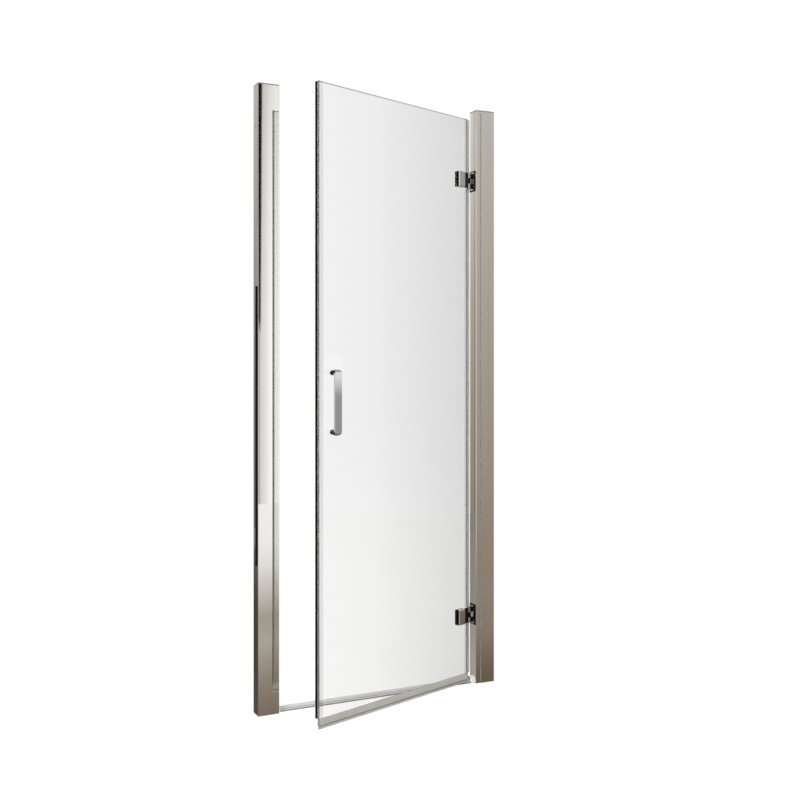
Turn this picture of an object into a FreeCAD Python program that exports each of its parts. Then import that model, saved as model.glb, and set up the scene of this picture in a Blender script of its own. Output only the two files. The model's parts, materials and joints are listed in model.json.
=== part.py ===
import FreeCAD, Part
import os
import re

import Sketcher
from FreeCAD import Placement, Rotation, Vector

# Hinged shower door: two wall profiles, a glass leaf on two hinges, seals and a low threshold.
# Millimetres. +X runs to the hinge side seen from outside, outside is -Y, +Z is up.
# The origin lies on the tray, at the middle of the width and of the posts' depth.
# The leaf is drawn closed, about its hinge axis, and stands ajar by open_angle.

doc = FreeCAD.newDocument("HingedShowerDoor")

SIZES = {
    # Frame
    "overall_width": 800,
    "overall_height": 1850,
    "post_depth": 45,
    "profile_wall": 2,
    "profile_round": 1.5,
    "slide_clearance": 0.3,
    "wall_gap": 0.5,
    "strike_front": 65,
    "strike_leg": 32,
    "channel_leg": 26,
    "wall_profile_front": 48,
    "jamb_reveal": 18,
    "jamb_hidden": 26,
    # End caps
    "cap_thickness": 3.5,
    "foot_thickness": 2,
    "plug_depth": 10,
    "plug_clearance": 0.25,
    "cap_joint": 0.1,
    # Wall holes and profile screws
    "wall_hole_radius": 2.75,
    "outer_hole_spacing": 1600,
    "inner_hole_spacing": 540,
    "screw_rows": 625,
    "screw_radius": 1.9,
    "screw_length": 9,
    "screw_head_radius": 4,
    "screw_head_height": 2.2,
    "screw_clearance": 0.1,
    "cover_radius": 6,
    "cover_height": 4,
    "cover_bevel": 1.2,
    # Glass
    "open_angle": 19.4,
    "glass_thickness": 6,
    "glass_bottom": 16,
    "glass_top_gap": 30,
    "strike_gap": 11,
    "glass_to_axis": 8,
    "axis_to_jamb": 16,
    "glass_bevel": 0.6,
    # Seals
    "seal_wall": 1,
    "seal_web": 2,
    "edge_lip": 15,
    "hinge_lip": 12,
    "hinge_fin_reach": 9,
    "hinge_fin_thickness": 1.2,
    "seal_cut_gap": 0.5,
    "magnet_width": 8,
    "magnet_depth": 6,
    "magnet_gap": 0.8,
    "carrier_foot": 2.5,
    "bottom_lip": 18.5,
    "fin_drop": 11.5,
    "fin_thickness": 1.6,
    "fin_lean": 1.8,
    # Threshold
    "threshold_front": 6,
    "threshold_back": 26,
    "threshold_lip": 1.2,
    "threshold_step": 3,
    "threshold_ridge": 12,
    "ridge_start": 6.5,
    "ridge_top_start": 10,
    "ridge_top_end": 16,
    "end_length": 9,
    "end_height": 18,
    "end_front": 3.5,
    "end_pocket_depth": 3,
    "end_pocket_width": 9,
    "end_pocket_height": 4,
    "end_pocket_margin": 1,
    # Hinges
    "hinge_inset": 202,
    "hinge_lift": 4,
    "plate_height": 66,
    "plate_depth": 34,
    "plate_thickness": 3,
    "plate_bevel": 1.4,
    "knuckle_height": 49,
    "knuckle_share": 16.4,
    "knuckle_gap": 0.5,
    "neck_depth": 8,
    "pin_radius": 3,
    "pin_clearance": 0.03,
    "bush_wall": 1.2,
    "bush_flange_wall": 2.4,
    "bush_flange": 0.35,
    "plate_screw_radius": 2,
    "plate_screw_head": 3.6,
    "plate_screw_length": 12,
    "plate_screw_depth_pitch": 23,
    "plate_screw_height_pitch": 34,
    "clamp_start": 30,
    "clamp_width": 30,
    "clamp_height": 49,
    "clamp_front": 10,
    "clamp_back": 7,
    "clamp_bevel": 2.6,
    "arm_thickness": 3.4,
    "gasket_thickness": 0.8,
    "clamp_screw_radius": 2.5,
    "clamp_screw_head": 4.8,
    "clamp_screw_reach": 6.5,
    "clamp_screw_pitch": 28,
    "glass_hole_radius": 5,
    "sleeve_clearance": 0.05,
    # Handle
    "handle_level": 919.5,
    "handle_inset": 53,
    "handle_width": 26,
    "handle_length": 188,
    "handle_projection": 22,
    "strap_thickness": 5.5,
    "handle_pitch": 168,
    "bend_outer": 8,
    "bend_inner": 5,
    "bend_run": 1,
    "end_round": 12,
    "boss_radius": 6.5,
    "washer_thickness": 1,
    "washer_radius": 8,
    "bolt_radius": 3,
    "bolt_reach": 9,
    "bolt_head_radius": 7,
    "bolt_head_height": 5,
    "bolt_head_taper": 1.2,
}

sheet = doc.addObject("Spreadsheet::Sheet", "Sizes")
for row, (alias, size) in enumerate(SIZES.items(), start=1):
    sheet.set(f"A{row}", alias)
    sheet.set(f"B{row}", str(size))
    sheet.setAlias(f"B{row}", alias)
doc.recompute()

# Lines and faces that several pieces share, as formulas on the sheet
STRIKE_WALL = "(-overall_width / 2)"
STRIKE_FACE = "(strike_front - overall_width / 2)"
STRIKE_EDGE = "(wall_gap - overall_width / 2)"
HINGE_WALL = "(overall_width / 2)"
PROFILE_MOUTH = "(overall_width / 2 - wall_profile_front)"
JAMB_FACE = f"({PROFILE_MOUTH} - jamb_reveal)"
JAMB_BACK = f"({PROFILE_MOUTH} + jamb_hidden)"
AXIS_X = f"({JAMB_FACE} - axis_to_jamb)"
POST_HALF = "(post_depth / 2)"
INNER_HALF = "(post_depth / 2 - profile_wall)"
SLIDE_HALF = "(post_depth / 2 - profile_wall - slide_clearance)"
CAP_BOTTOM = "(overall_height - cap_thickness)"
PROFILE_LENGTH = "(overall_height - cap_thickness - foot_thickness)"
PROFILE_MIDDLE = "(overall_height / 2)"
GLASS_TOP = "(overall_height - glass_top_gap)"
GLASS_FACE = "(glass_thickness / 2)"
EDGE_HINGE = "(-glass_to_axis)"
EDGE_FREE = f"({STRIKE_FACE} + strike_gap - {AXIS_X})"
LIP_FACE = "(glass_thickness / 2 + seal_wall)"
SEAL_BOTTOM = "(glass_bottom + bottom_lip + seal_cut_gap)"
POCKET_BACK = f"({LIP_FACE} + magnet_width + seal_wall)"
CLAMP_FACE = "(glass_thickness / 2 + gasket_thickness)"
KNUCKLE_RADIUS = f"({CLAMP_FACE} + arm_thickness)"
CLAMP_NEAR = "(-clamp_start)"
CLAMP_FAR = "(-clamp_start - clamp_width)"
CLAMP_MIDDLE = "(-clamp_start - clamp_width / 2)"
PLATE_FACE = f"({JAMB_FACE} - plate_thickness)"
HANDLE_X = f"({EDGE_FREE} + handle_inset)"
HANDLE_SEAT = "(glass_thickness / 2 + washer_thickness)"
HANDLE_FRONT = f"({GLASS_FACE} + handle_projection)"
HINGE_LEVELS = {
    "lower": "(glass_bottom + hinge_inset + hinge_lift)",
    "upper": f"({GLASS_TOP} - hinge_inset + hinge_lift)",
}
SCREW_LEVELS = [f"({PROFILE_MIDDLE} + ({step}) * screw_rows)" for step in (-1, 0, 1)]

nodes = {}


def bind(formula):
    """Point each size named in a formula at its cell."""
    names = "|".join(sorted(SIZES, key=len, reverse=True))
    return re.sub(rf"\b({names})\b", r"Sizes.\1", formula)


def value(formula):
    """What a formula measures now."""
    return float(sheet.evalExpression(bind(formula)))


def drive(obj, **formulas):
    """Bind properties of an object to formulas on the sheet."""
    for name, formula in formulas.items():
        obj.setExpression(name, bind(formula))


def put(obj, x="0", y="0", z="0"):
    """Place an object at a driven point."""
    for axis, formula in zip("xyz", (x, y, z)):
        obj.setExpression(f"Placement.Base.{axis}", bind(formula))
    return obj


def hang(obj, z="0"):
    """Carry a piece of the leaf to the hinge axis and turn it ajar."""
    obj.Placement = Placement(Vector(), Rotation(Vector(0, 0, 1), value("open_angle")))
    obj.setExpression("Placement.Rotation.Angle", bind("open_angle"))
    return put(obj, AXIS_X, "0", z)


def node(label, obj):
    """Name a finished piece, which is what gets written."""
    obj.Label = label
    nodes[label] = obj
    return obj


def box(x, y, z):
    """Block between driven limits along each axis."""
    block = doc.addObject("Part::Box", "Block")
    for name, (low, high) in zip(("Length", "Width", "Height"), (x, y, z)):
        block.setExpression(name, bind(f"({high}) - ({low})"))
    return put(block, x[0], y[0], z[0])


TURNS = {
    "x": Rotation(Vector(0, 1, 0), 90),
    "y": Rotation(Vector(1, 0, 0), -90),
    "z": Rotation(),
}


def turned(kind, axis, centre, start, end):
    """Round primitive along an axis, from start to end, about a driven centre."""
    solid = doc.addObject(kind, "Round")
    solid.Placement = Placement(Vector(), TURNS[axis])
    solid.setExpression("Height", bind(f"({end}) - ({start})"))
    base = list(centre)
    base.insert("xyz".index(axis), start)
    return put(solid, *base)


def rod(axis, centre, start, end, radius):
    """Cylinder."""
    solid = turned("Part::Cylinder", axis, centre, start, end)
    drive(solid, Radius=radius)
    return solid


def taper(axis, centre, start, end, first, last):
    """Cone from one radius to another."""
    solid = turned("Part::Cone", axis, centre, start, end)
    drive(solid, Radius1=first, Radius2=last)
    return solid


def join(*parts):
    """Fuse parts into one solid."""
    fused = doc.addObject("Part::MultiFuse", "Joined")
    fused.Shapes = list(parts)
    fused.Refine = True
    return fused


def bore(base, *tools):
    """Cut tools out of a base."""
    cut = doc.addObject("Part::Cut", "Bored")
    cut.Base = base
    cut.Tool = tools[0] if len(tools) == 1 else group(*tools)
    return cut


def group(*parts):
    """Separate solids kept together."""
    compound = doc.addObject("Part::Compound", "Set")
    compound.Links = list(parts)
    return compound


def origin_plane(body, role):
    """One of a body's own origin planes."""
    return next(f for f in body.Origin.OriginFeatures if f.Role == role)


def closed_outline(sketch, corners):
    """Closed run of lines whose corners follow formulas."""
    points = [Vector(value(u), value(v), 0) for u, v in corners]
    first = sketch.GeometryCount
    count = len(points)
    for i in range(count):
        sketch.addGeometry(Part.LineSegment(points[i], points[(i + 1) % count]), False)
    for i in range(count):
        following = first + (i + 1) % count
        sketch.addConstraint(Sketcher.Constraint("Coincident", first + i, 2, following, 1))
    for i, corner in enumerate(corners):
        for kind, formula in zip(("DistanceX", "DistanceY"), corner):
            limit = Sketcher.Constraint(kind, -1, 1, first + i, 1, value(formula))
            index = sketch.addConstraint(limit)
            sketch.setExpression(f"Constraints[{index}]", bind(formula))


def extrusion(role, outlines, length, midplane=False):
    """Body padded from driven outlines on one of its origin planes."""
    body = doc.addObject("PartDesign::Body", "Extrusion")
    sketch = body.newObject("Sketcher::SketchObject", "Section")
    sketch.AttachmentSupport = [(origin_plane(body, role), "")]
    sketch.MapMode = "FlatFace"
    for corners in outlines:
        closed_outline(sketch, corners)
    pad = body.newObject("PartDesign::Pad", "Length")
    pad.Profile = sketch
    pad.Midplane = midplane
    pad.setExpression("Length", bind(length))
    doc.recompute()
    return body


def rectangle(u, v):
    """Corners of a rectangle between driven limits."""
    return [(u[0], v[0]), (u[1], v[0]), (u[1], v[1]), (u[0], v[1])]


def flat_face(shape, way):
    """Name of the flat face that lies furthest along a direction."""
    def reach(index):
        return shape.Faces[index].CenterOfMass.dot(way)
    facing = [
        i for i, face in enumerate(shape.Faces)
        if isinstance(face.Surface, Part.Plane) and face.normalAt(0, 0).dot(way) > 0.999
    ]
    return f"Face{max(facing, key=reach) + 1}"


def edges_at(shape, along, points):
    """Names of the straight edges along a direction that pass through given points."""
    names = []
    for index, edge in enumerate(shape.Edges, start=1):
        if not isinstance(edge.Curve, Part.Line):
            continue
        if abs(edge.Curve.Direction.dot(along)) < 0.999:
            continue
        offsets = [edge.CenterOfMass - point for point in points]
        if any((gap - along * gap.dot(along)).Length < 0.01 for gap in offsets):
            names.append(f"Edge{index}")
    return names


def dress(body, kind, names, **sizes):
    """Round or bevel named edges of a body's last feature."""
    base = body.Tip
    feature = body.newObject(kind, "Dressed")
    feature.Base = (base, names)
    drive(feature, **sizes)
    doc.recompute()
    return body


def bevel_face(body, way, size):
    """Bevel every edge of the flat face that looks along a direction."""
    return dress(body, "PartDesign::Chamfer", [flat_face(body.Shape, way)], Size=size)


def round_corners(body, corners, size):
    """Round upright edges that stand on plan corners."""
    points = [Vector(value(x), value(y), 0) for x, y in corners]
    names = edges_at(body.Shape, Vector(0, 0, 1), points)
    return dress(body, "PartDesign::Fillet", names, Radius=size)


def wall_holes(low, high):
    """Screw holes through a wall profile's web, on its middle line."""
    levels = []
    for spacing in ("outer_hole_spacing", "inner_hole_spacing"):
        levels += [f"({PROFILE_MIDDLE} - {spacing} / 2)", f"({PROFILE_MIDDLE} + {spacing} / 2)"]
    return [rod("x", ("0", level), low, high, "wall_hole_radius") for level in levels]


def screw_holes(x, start, end):
    """Clear holes for the profile screws through a wall that faces the inside."""
    radius = "screw_radius + screw_clearance"
    return [rod("y", (x, level), start, end, radius) for level in SCREW_LEVELS]


# Strike side: wall channel, and the post that slides over it

CHANNEL_MOUTH = f"({STRIKE_WALL} + channel_leg)"
CHANNEL_SCREW = f"({STRIKE_WALL} + channel_leg / 2)"
CHANNEL_INNER = f"({SLIDE_HALF} - profile_wall)"
PARTITION = f"({STRIKE_EDGE} + strike_leg)"

channel = extrusion("XY_Plane", [[
    (STRIKE_WALL, f"-{SLIDE_HALF}"),
    (CHANNEL_MOUTH, f"-{SLIDE_HALF}"),
    (CHANNEL_MOUTH, f"-{CHANNEL_INNER}"),
    (f"{STRIKE_WALL} + profile_wall", f"-{CHANNEL_INNER}"),
    (f"{STRIKE_WALL} + profile_wall", CHANNEL_INNER),
    (CHANNEL_MOUTH, CHANNEL_INNER),
    (CHANNEL_MOUTH, SLIDE_HALF),
    (STRIKE_WALL, SLIDE_HALF),
]], PROFILE_LENGTH)
put(channel, z="foot_thickness")
channel_holes = wall_holes(STRIKE_WALL, f"{STRIKE_WALL} + profile_wall")
channel_holes += screw_holes(CHANNEL_SCREW, CHANNEL_INNER, SLIDE_HALF)
node("strike_wall_channel", bore(channel, *channel_holes))

strike_post = extrusion("XY_Plane", [[
    (STRIKE_EDGE, f"-{POST_HALF}"),
    (STRIKE_FACE, f"-{POST_HALF}"),
    (STRIKE_FACE, POST_HALF),
    (STRIKE_EDGE, POST_HALF),
    (STRIKE_EDGE, INNER_HALF),
    (PARTITION, INNER_HALF),
    (PARTITION, f"-{INNER_HALF}"),
    (STRIKE_EDGE, f"-{INNER_HALF}"),
], rectangle(
    (f"{PARTITION} + profile_wall", f"{STRIKE_FACE} - profile_wall"),
    (f"-{INNER_HALF}", INNER_HALF),
)], PROFILE_LENGTH)
strike_corners = [(STRIKE_FACE, f"-{POST_HALF}"), (STRIKE_FACE, POST_HALF)]
round_corners(strike_post, strike_corners, "profile_round")
put(strike_post, z="foot_thickness")
node("strike_post", bore(strike_post, *screw_holes(CHANNEL_SCREW, INNER_HALF, POST_HALF)))


# Hinge side: wall profile, and the jamb that slides into it

PROFILE_SCREW = f"({PROFILE_MOUTH} + jamb_hidden / 2)"
JAMB_INNER = f"({SLIDE_HALF} - profile_wall)"

wall_profile = extrusion("XY_Plane", [[
    (HINGE_WALL, f"-{POST_HALF}"),
    (HINGE_WALL, POST_HALF),
    (PROFILE_MOUTH, POST_HALF),
    (PROFILE_MOUTH, INNER_HALF),
    (f"{HINGE_WALL} - profile_wall", INNER_HALF),
    (f"{HINGE_WALL} - profile_wall", f"-{INNER_HALF}"),
    (PROFILE_MOUTH, f"-{INNER_HALF}"),
    (PROFILE_MOUTH, f"-{POST_HALF}"),
]], PROFILE_LENGTH)
put(wall_profile, z="foot_thickness")
profile_holes = wall_holes(f"{HINGE_WALL} - profile_wall", HINGE_WALL)
profile_holes += screw_holes(PROFILE_SCREW, INNER_HALF, POST_HALF)
node("hinge_wall_profile", bore(wall_profile, *profile_holes))

jamb = extrusion("XY_Plane", [
    rectangle((JAMB_FACE, JAMB_BACK), (f"-{SLIDE_HALF}", SLIDE_HALF)),
    rectangle(
        (f"{JAMB_FACE} + profile_wall", f"{JAMB_BACK} - profile_wall"),
        (f"-{JAMB_INNER}", JAMB_INNER),
    ),
], PROFILE_LENGTH)
round_corners(jamb, [(JAMB_FACE, f"-{SLIDE_HALF}"), (JAMB_FACE, SLIDE_HALF)], "profile_round")
put(jamb, z="foot_thickness")
plate_screw_hole = "plate_screw_radius + screw_clearance"


def plate_screw_spots(level):
    """Where the screws of one hinge plate stand, across the jamb and up it."""
    return [
        (f"({side}) * plate_screw_depth_pitch / 2", f"{level} + ({end}) * plate_screw_height_pitch / 2")
        for side in (-1, 1)
        for end in (-1, 1)
    ]


jamb_holes = [
    rod("x", spot, JAMB_FACE, f"{JAMB_FACE} + profile_wall", plate_screw_hole)
    for level in HINGE_LEVELS.values()
    for spot in plate_screw_spots(level)
]
jamb_holes += screw_holes(PROFILE_SCREW, JAMB_INNER, SLIDE_HALF)
node("hinge_jamb", bore(jamb, *jamb_holes))


# Screws that pin each profile to its partner from inside, under round covers

screws = []
covers = []
for x in (CHANNEL_SCREW, PROFILE_SCREW):
    for level in SCREW_LEVELS:
        shank = rod("y", (x, level), f"{POST_HALF} - screw_length", POST_HALF, "screw_radius")
        head_top = f"{POST_HALF} + screw_head_height"
        head = rod("y", (x, level), POST_HALF, head_top, "screw_head_radius")
        screws.append(join(shank, head))
        rim = f"{POST_HALF} + cover_height - cover_bevel"
        skirt = rod("y", (x, level), POST_HALF, rim, "cover_radius")
        dome = f"{rim} + cover_bevel"
        crown = taper("y", (x, level), rim, dome, "cover_radius", "cover_radius - cover_bevel")
        room = rod("y", (x, level), POST_HALF, head_top, "screw_head_radius + screw_clearance")
        covers.append(bore(join(skirt, crown), room))
node("profile_screws", group(*screws))
node("screw_covers", group(*covers))


# End caps and feet

def end_caps(place, plate_x, plate_half, chamber_x, chamber_half):
    """Top cap and foot of a profile; a plug holds each of them in the profile's chamber."""
    for end, low, high in (("cap", CAP_BOTTOM, "overall_height"), ("foot", "0", "foot_thickness")):
        plate = box(plate_x, (f"-{plate_half}", plate_half), (low, high))
        plug_z = (f"{low} - plug_depth", low) if end == "cap" else (high, f"{high} + plug_depth")
        plug_x = (f"{chamber_x[0]} + plug_clearance", f"{chamber_x[1]} - plug_clearance")
        plug_half = f"({chamber_half} - plug_clearance)"
        plug = box(plug_x, (f"-{plug_half}", plug_half), plug_z)
        node(f"{place}_{end}", join(plate, plug))


end_caps(
    "strike_post", (STRIKE_EDGE, STRIKE_FACE), POST_HALF,
    (f"{PARTITION} + profile_wall", f"{STRIKE_FACE} - profile_wall"), INNER_HALF,
)
end_caps(
    "hinge_jamb", (JAMB_FACE, f"{PROFILE_MOUTH} - cap_joint"), SLIDE_HALF,
    (f"{JAMB_FACE} + profile_wall", PROFILE_MOUTH), JAMB_INNER,
)
end_caps(
    "hinge_wall_profile", (PROFILE_MOUTH, HINGE_WALL), POST_HALF,
    (JAMB_BACK, f"{HINGE_WALL} - profile_wall"), INNER_HALF,
)


# Strike magnet: a carrier on the post's face holds a strip that the leaf's strip meets

MAGNET_BACK = f"({LIP_FACE} + magnet_width)"
CARRIER_TIP = f"({STRIKE_FACE} + strike_gap - seal_web - magnet_gap)"
STRIP_ROOT = f"({CARRIER_TIP} - magnet_depth)"
STRIP_LENGTH = f"({GLASS_TOP} - {SEAL_BOTTOM})"

carrier = extrusion("XY_Plane", [[
    (STRIKE_FACE, f"{LIP_FACE} - carrier_foot"),
    (STRIP_ROOT, f"{LIP_FACE} - seal_wall"),
    (CARRIER_TIP, f"{LIP_FACE} - seal_wall"),
    (CARRIER_TIP, LIP_FACE),
    (STRIP_ROOT, LIP_FACE),
    (STRIP_ROOT, MAGNET_BACK),
    (CARRIER_TIP, MAGNET_BACK),
    (CARRIER_TIP, POCKET_BACK),
    (STRIP_ROOT, POCKET_BACK),
    (STRIKE_FACE, f"{MAGNET_BACK} + carrier_foot"),
]], STRIP_LENGTH)
node("strike_magnet_carrier", put(carrier, z=SEAL_BOTTOM))
strike_strip = extrusion("XY_Plane", [
    rectangle((STRIP_ROOT, CARRIER_TIP), (LIP_FACE, MAGNET_BACK)),
], STRIP_LENGTH)
node("strike_magnet", put(strike_strip, z=SEAL_BOTTOM))


# Threshold: a low front lip under the leaf and a ridge behind it, between two end blocks

threshold_corners = [
    ("-threshold_front", "0"),
    ("threshold_back", "0"),
    ("threshold_back", "threshold_lip"),
    ("ridge_top_end", "threshold_ridge"),
    ("ridge_top_start", "threshold_ridge"),
    ("ridge_start", "threshold_step"),
    ("-threshold_front / 2", "threshold_step"),
    ("-threshold_front", "threshold_lip"),
]
bar_start = f"{STRIKE_FACE} + end_length"
bar_end = f"{JAMB_FACE} - end_length"
bar = extrusion("YZ_Plane", [threshold_corners], f"({bar_end}) - ({bar_start})")
node("threshold_bar", put(bar, x=bar_start))

END_BLOCKS = {"strike": (STRIKE_FACE, bar_start, -1), "hinge": (bar_end, JAMB_FACE, 1)}
for side, (low, high, turn) in END_BLOCKS.items():
    block = extrusion("YZ_Plane", [[
        ("-end_front", "0"),
        ("threshold_back", "0"),
        ("threshold_back", "threshold_lip"),
        ("ridge_top_end", "end_height"),
        ("ridge_start", "end_height"),
        ("-end_front", "threshold_step"),
    ]], "end_length")
    put(block, x=low)
    inner = low if side == "hinge" else high
    deep = f"{inner} + ({turn}) * end_pocket_depth"
    pocket_x = (inner, deep) if side == "hinge" else (deep, inner)
    pocket_start = "ridge_start + end_pocket_margin"
    pocket_y = (pocket_start, f"{pocket_start} + end_pocket_width")
    pocket_top = "end_height - end_pocket_margin"
    pocket = box(pocket_x, pocket_y, (f"{pocket_top} - end_pocket_height", pocket_top))
    node(f"threshold_end_{side}", bore(block, pocket))


# Post side of each hinge: plate, two knuckles on necks, and the pin

KNUCKLE_TOP = "(knuckle_height / 2)"
KNUCKLE_SPLIT = "(knuckle_share / 2)"
PIN_HOLE = "pin_radius + pin_clearance"

plate_screws = []
for name, level in HINGE_LEVELS.items():
    plate = extrusion("XY_Plane", [
        rectangle((PLATE_FACE, JAMB_FACE), ("-plate_depth / 2", "plate_depth / 2")),
    ], "plate_height")
    bevel_face(plate, Vector(-1, 0, 0), "plate_bevel")
    put(plate, z=f"{level} - plate_height / 2")
    metal = [plate]
    for low, high in (
        (f"{level} - {KNUCKLE_TOP}", f"{level} - {KNUCKLE_SPLIT} - knuckle_gap"),
        (f"{level} + {KNUCKLE_SPLIT} + knuckle_gap", f"{level} + {KNUCKLE_TOP}"),
    ):
        metal.append(rod("z", (AXIS_X, "0"), low, high, KNUCKLE_RADIUS))
        neck_x = (AXIS_X, f"{PLATE_FACE} + plate_bevel")
        metal.append(box(neck_x, ("-neck_depth / 2", "neck_depth / 2"), (low, high)))
    low = f"{level} - {KNUCKLE_TOP}"
    high = f"{level} + {KNUCKLE_TOP}"
    holes = [rod("z", (AXIS_X, "0"), low, high, PIN_HOLE)]
    for spot in plate_screw_spots(level):
        holes.append(rod("x", spot, PLATE_FACE, JAMB_FACE, plate_screw_hole))
        sink = f"{PLATE_FACE} + plate_screw_head - plate_screw_radius"
        wide = "plate_screw_head + screw_clearance"
        holes.append(taper("x", spot, PLATE_FACE, sink, wide, plate_screw_hole))
        head = taper("x", spot, PLATE_FACE, sink, "plate_screw_head", "plate_screw_radius")
        shank = rod("x", spot, sink, f"{PLATE_FACE} + plate_screw_length", "plate_screw_radius")
        plate_screws.append(join(head, shank))
    node(f"{name}_hinge_plate", bore(join(*metal), *holes))
    node(f"{name}_hinge_pin", rod("z", (AXIS_X, "0"), low, high, "pin_radius"))
node("hinge_plate_screws", group(*plate_screws))


# Glass leaf, drawn closed about the hinge axis

HANDLE_SPOTS = [(HANDLE_X, f"handle_level + ({end}) * handle_pitch / 2") for end in (-1, 1)]


def clamp_spots(level):
    """Where the screws of one hinge clamp pass through the glass."""
    return [(CLAMP_MIDDLE, f"{level} + ({end}) * clamp_screw_pitch / 2") for end in (-1, 1)]


glass = extrusion("XY_Plane", [[
    (EDGE_FREE, f"glass_bevel - {GLASS_FACE}"),
    (f"{EDGE_FREE} + glass_bevel", f"-{GLASS_FACE}"),
    (f"{EDGE_HINGE} - glass_bevel", f"-{GLASS_FACE}"),
    (EDGE_HINGE, f"glass_bevel - {GLASS_FACE}"),
    (EDGE_HINGE, f"{GLASS_FACE} - glass_bevel"),
    (f"{EDGE_HINGE} - glass_bevel", GLASS_FACE),
    (f"{EDGE_FREE} + glass_bevel", GLASS_FACE),
    (EDGE_FREE, f"{GLASS_FACE} - glass_bevel"),
]], f"{GLASS_TOP} - glass_bottom")
put(glass, z="glass_bottom")
glass_spots = HANDLE_SPOTS + [spot for level in HINGE_LEVELS.values() for spot in clamp_spots(level)]
glass_holes = [
    rod("y", spot, f"-{GLASS_FACE}", GLASS_FACE, "glass_hole_radius")
    for spot in glass_spots
]
node("glass_panel", hang(bore(glass, *glass_holes)))


# Seals of the leaf

SEAL_TIP = f"({EDGE_FREE} - seal_web)"
free_seal = extrusion("XY_Plane", [[
    (SEAL_TIP, f"-{LIP_FACE}"),
    (f"{EDGE_FREE} + edge_lip", f"-{LIP_FACE}"),
    (f"{EDGE_FREE} + edge_lip", f"-{GLASS_FACE}"),
    (EDGE_FREE, f"-{GLASS_FACE}"),
    (EDGE_FREE, GLASS_FACE),
    (f"{EDGE_FREE} + edge_lip", GLASS_FACE),
    (f"{EDGE_FREE} + edge_lip", LIP_FACE),
    (f"{SEAL_TIP} + magnet_depth + seal_wall", LIP_FACE),
    (f"{SEAL_TIP} + magnet_depth + seal_wall", POCKET_BACK),
    (SEAL_TIP, POCKET_BACK),
    (SEAL_TIP, MAGNET_BACK),
    (f"{SEAL_TIP} + magnet_depth", MAGNET_BACK),
    (f"{SEAL_TIP} + magnet_depth", LIP_FACE),
    (SEAL_TIP, LIP_FACE),
]], STRIP_LENGTH)
node("free_edge_seal", hang(free_seal, SEAL_BOTTOM))
door_strip = extrusion("XY_Plane", [
    rectangle((SEAL_TIP, f"{SEAL_TIP} + magnet_depth"), (LIP_FACE, MAGNET_BACK)),
], STRIP_LENGTH)
node("door_magnet", hang(door_strip, SEAL_BOTTOM))

CLAMP_CUT = "(clamp_height / 2 + seal_cut_gap)"
HINGE_SEAL_SPANS = {
    "bottom": (SEAL_BOTTOM, f"{HINGE_LEVELS['lower']} - {CLAMP_CUT}"),
    "middle": (f"{HINGE_LEVELS['lower']} + {CLAMP_CUT}", f"{HINGE_LEVELS['upper']} - {CLAMP_CUT}"),
    "top": (f"{HINGE_LEVELS['upper']} + {CLAMP_CUT}", GLASS_TOP),
}
WEB_FACE = f"({EDGE_HINGE} + seal_web)"
for name, (low, high) in HINGE_SEAL_SPANS.items():
    hinge_seal = extrusion("XY_Plane", [[
        (f"{EDGE_HINGE} - hinge_lip", f"-{LIP_FACE}"),
        (WEB_FACE, f"-{LIP_FACE}"),
        (WEB_FACE, "-hinge_fin_thickness / 2"),
        (f"{WEB_FACE} + hinge_fin_reach", "-hinge_fin_thickness / 2"),
        (f"{WEB_FACE} + hinge_fin_reach", "hinge_fin_thickness / 2"),
        (WEB_FACE, "hinge_fin_thickness / 2"),
        (WEB_FACE, LIP_FACE),
        (f"{EDGE_HINGE} - hinge_lip", LIP_FACE),
        (f"{EDGE_HINGE} - hinge_lip", GLASS_FACE),
        (EDGE_HINGE, GLASS_FACE),
        (EDGE_HINGE, f"-{GLASS_FACE}"),
        (f"{EDGE_HINGE} - hinge_lip", f"-{GLASS_FACE}"),
    ]], f"({high}) - ({low})")
    node(f"hinge_edge_seal_{name}", hang(hinge_seal, low))

FIN_ROOT = "(glass_bottom - seal_web)"
FIN_TIP = "(glass_bottom - fin_drop)"
bottom_seal = extrusion("YZ_Plane", [[
    (f"-{LIP_FACE}", "glass_bottom + bottom_lip"),
    (f"-{LIP_FACE}", FIN_ROOT),
    ("-fin_thickness / 2", FIN_ROOT),
    ("fin_lean - fin_thickness / 2", FIN_TIP),
    ("fin_lean + fin_thickness / 2", FIN_TIP),
    ("fin_thickness / 2", FIN_ROOT),
    (LIP_FACE, FIN_ROOT),
    (LIP_FACE, "glass_bottom + bottom_lip"),
    (GLASS_FACE, "glass_bottom + bottom_lip"),
    (GLASS_FACE, "glass_bottom"),
    (f"-{GLASS_FACE}", "glass_bottom"),
    (f"-{GLASS_FACE}", "glass_bottom + bottom_lip"),
]], f"{EDGE_HINGE} - {EDGE_FREE}")
put(bottom_seal, x=EDGE_FREE)
node("bottom_seal", hang(group(bottom_seal)))


# Leaf side of each hinge: clamp plates, gaskets, sleeves, screws and bushes

CLAMP_FRONT = f"({CLAMP_FACE} + clamp_front)"
CLAMP_BACK = f"({CLAMP_FACE} + clamp_back)"
BUSH_RADIUS = "(pin_radius + pin_clearance + bush_wall)"
BUSH_SEAT = f"({BUSH_RADIUS} + sleeve_clearance)"
clamp_screw_hole = "clamp_screw_radius + screw_clearance"

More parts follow.
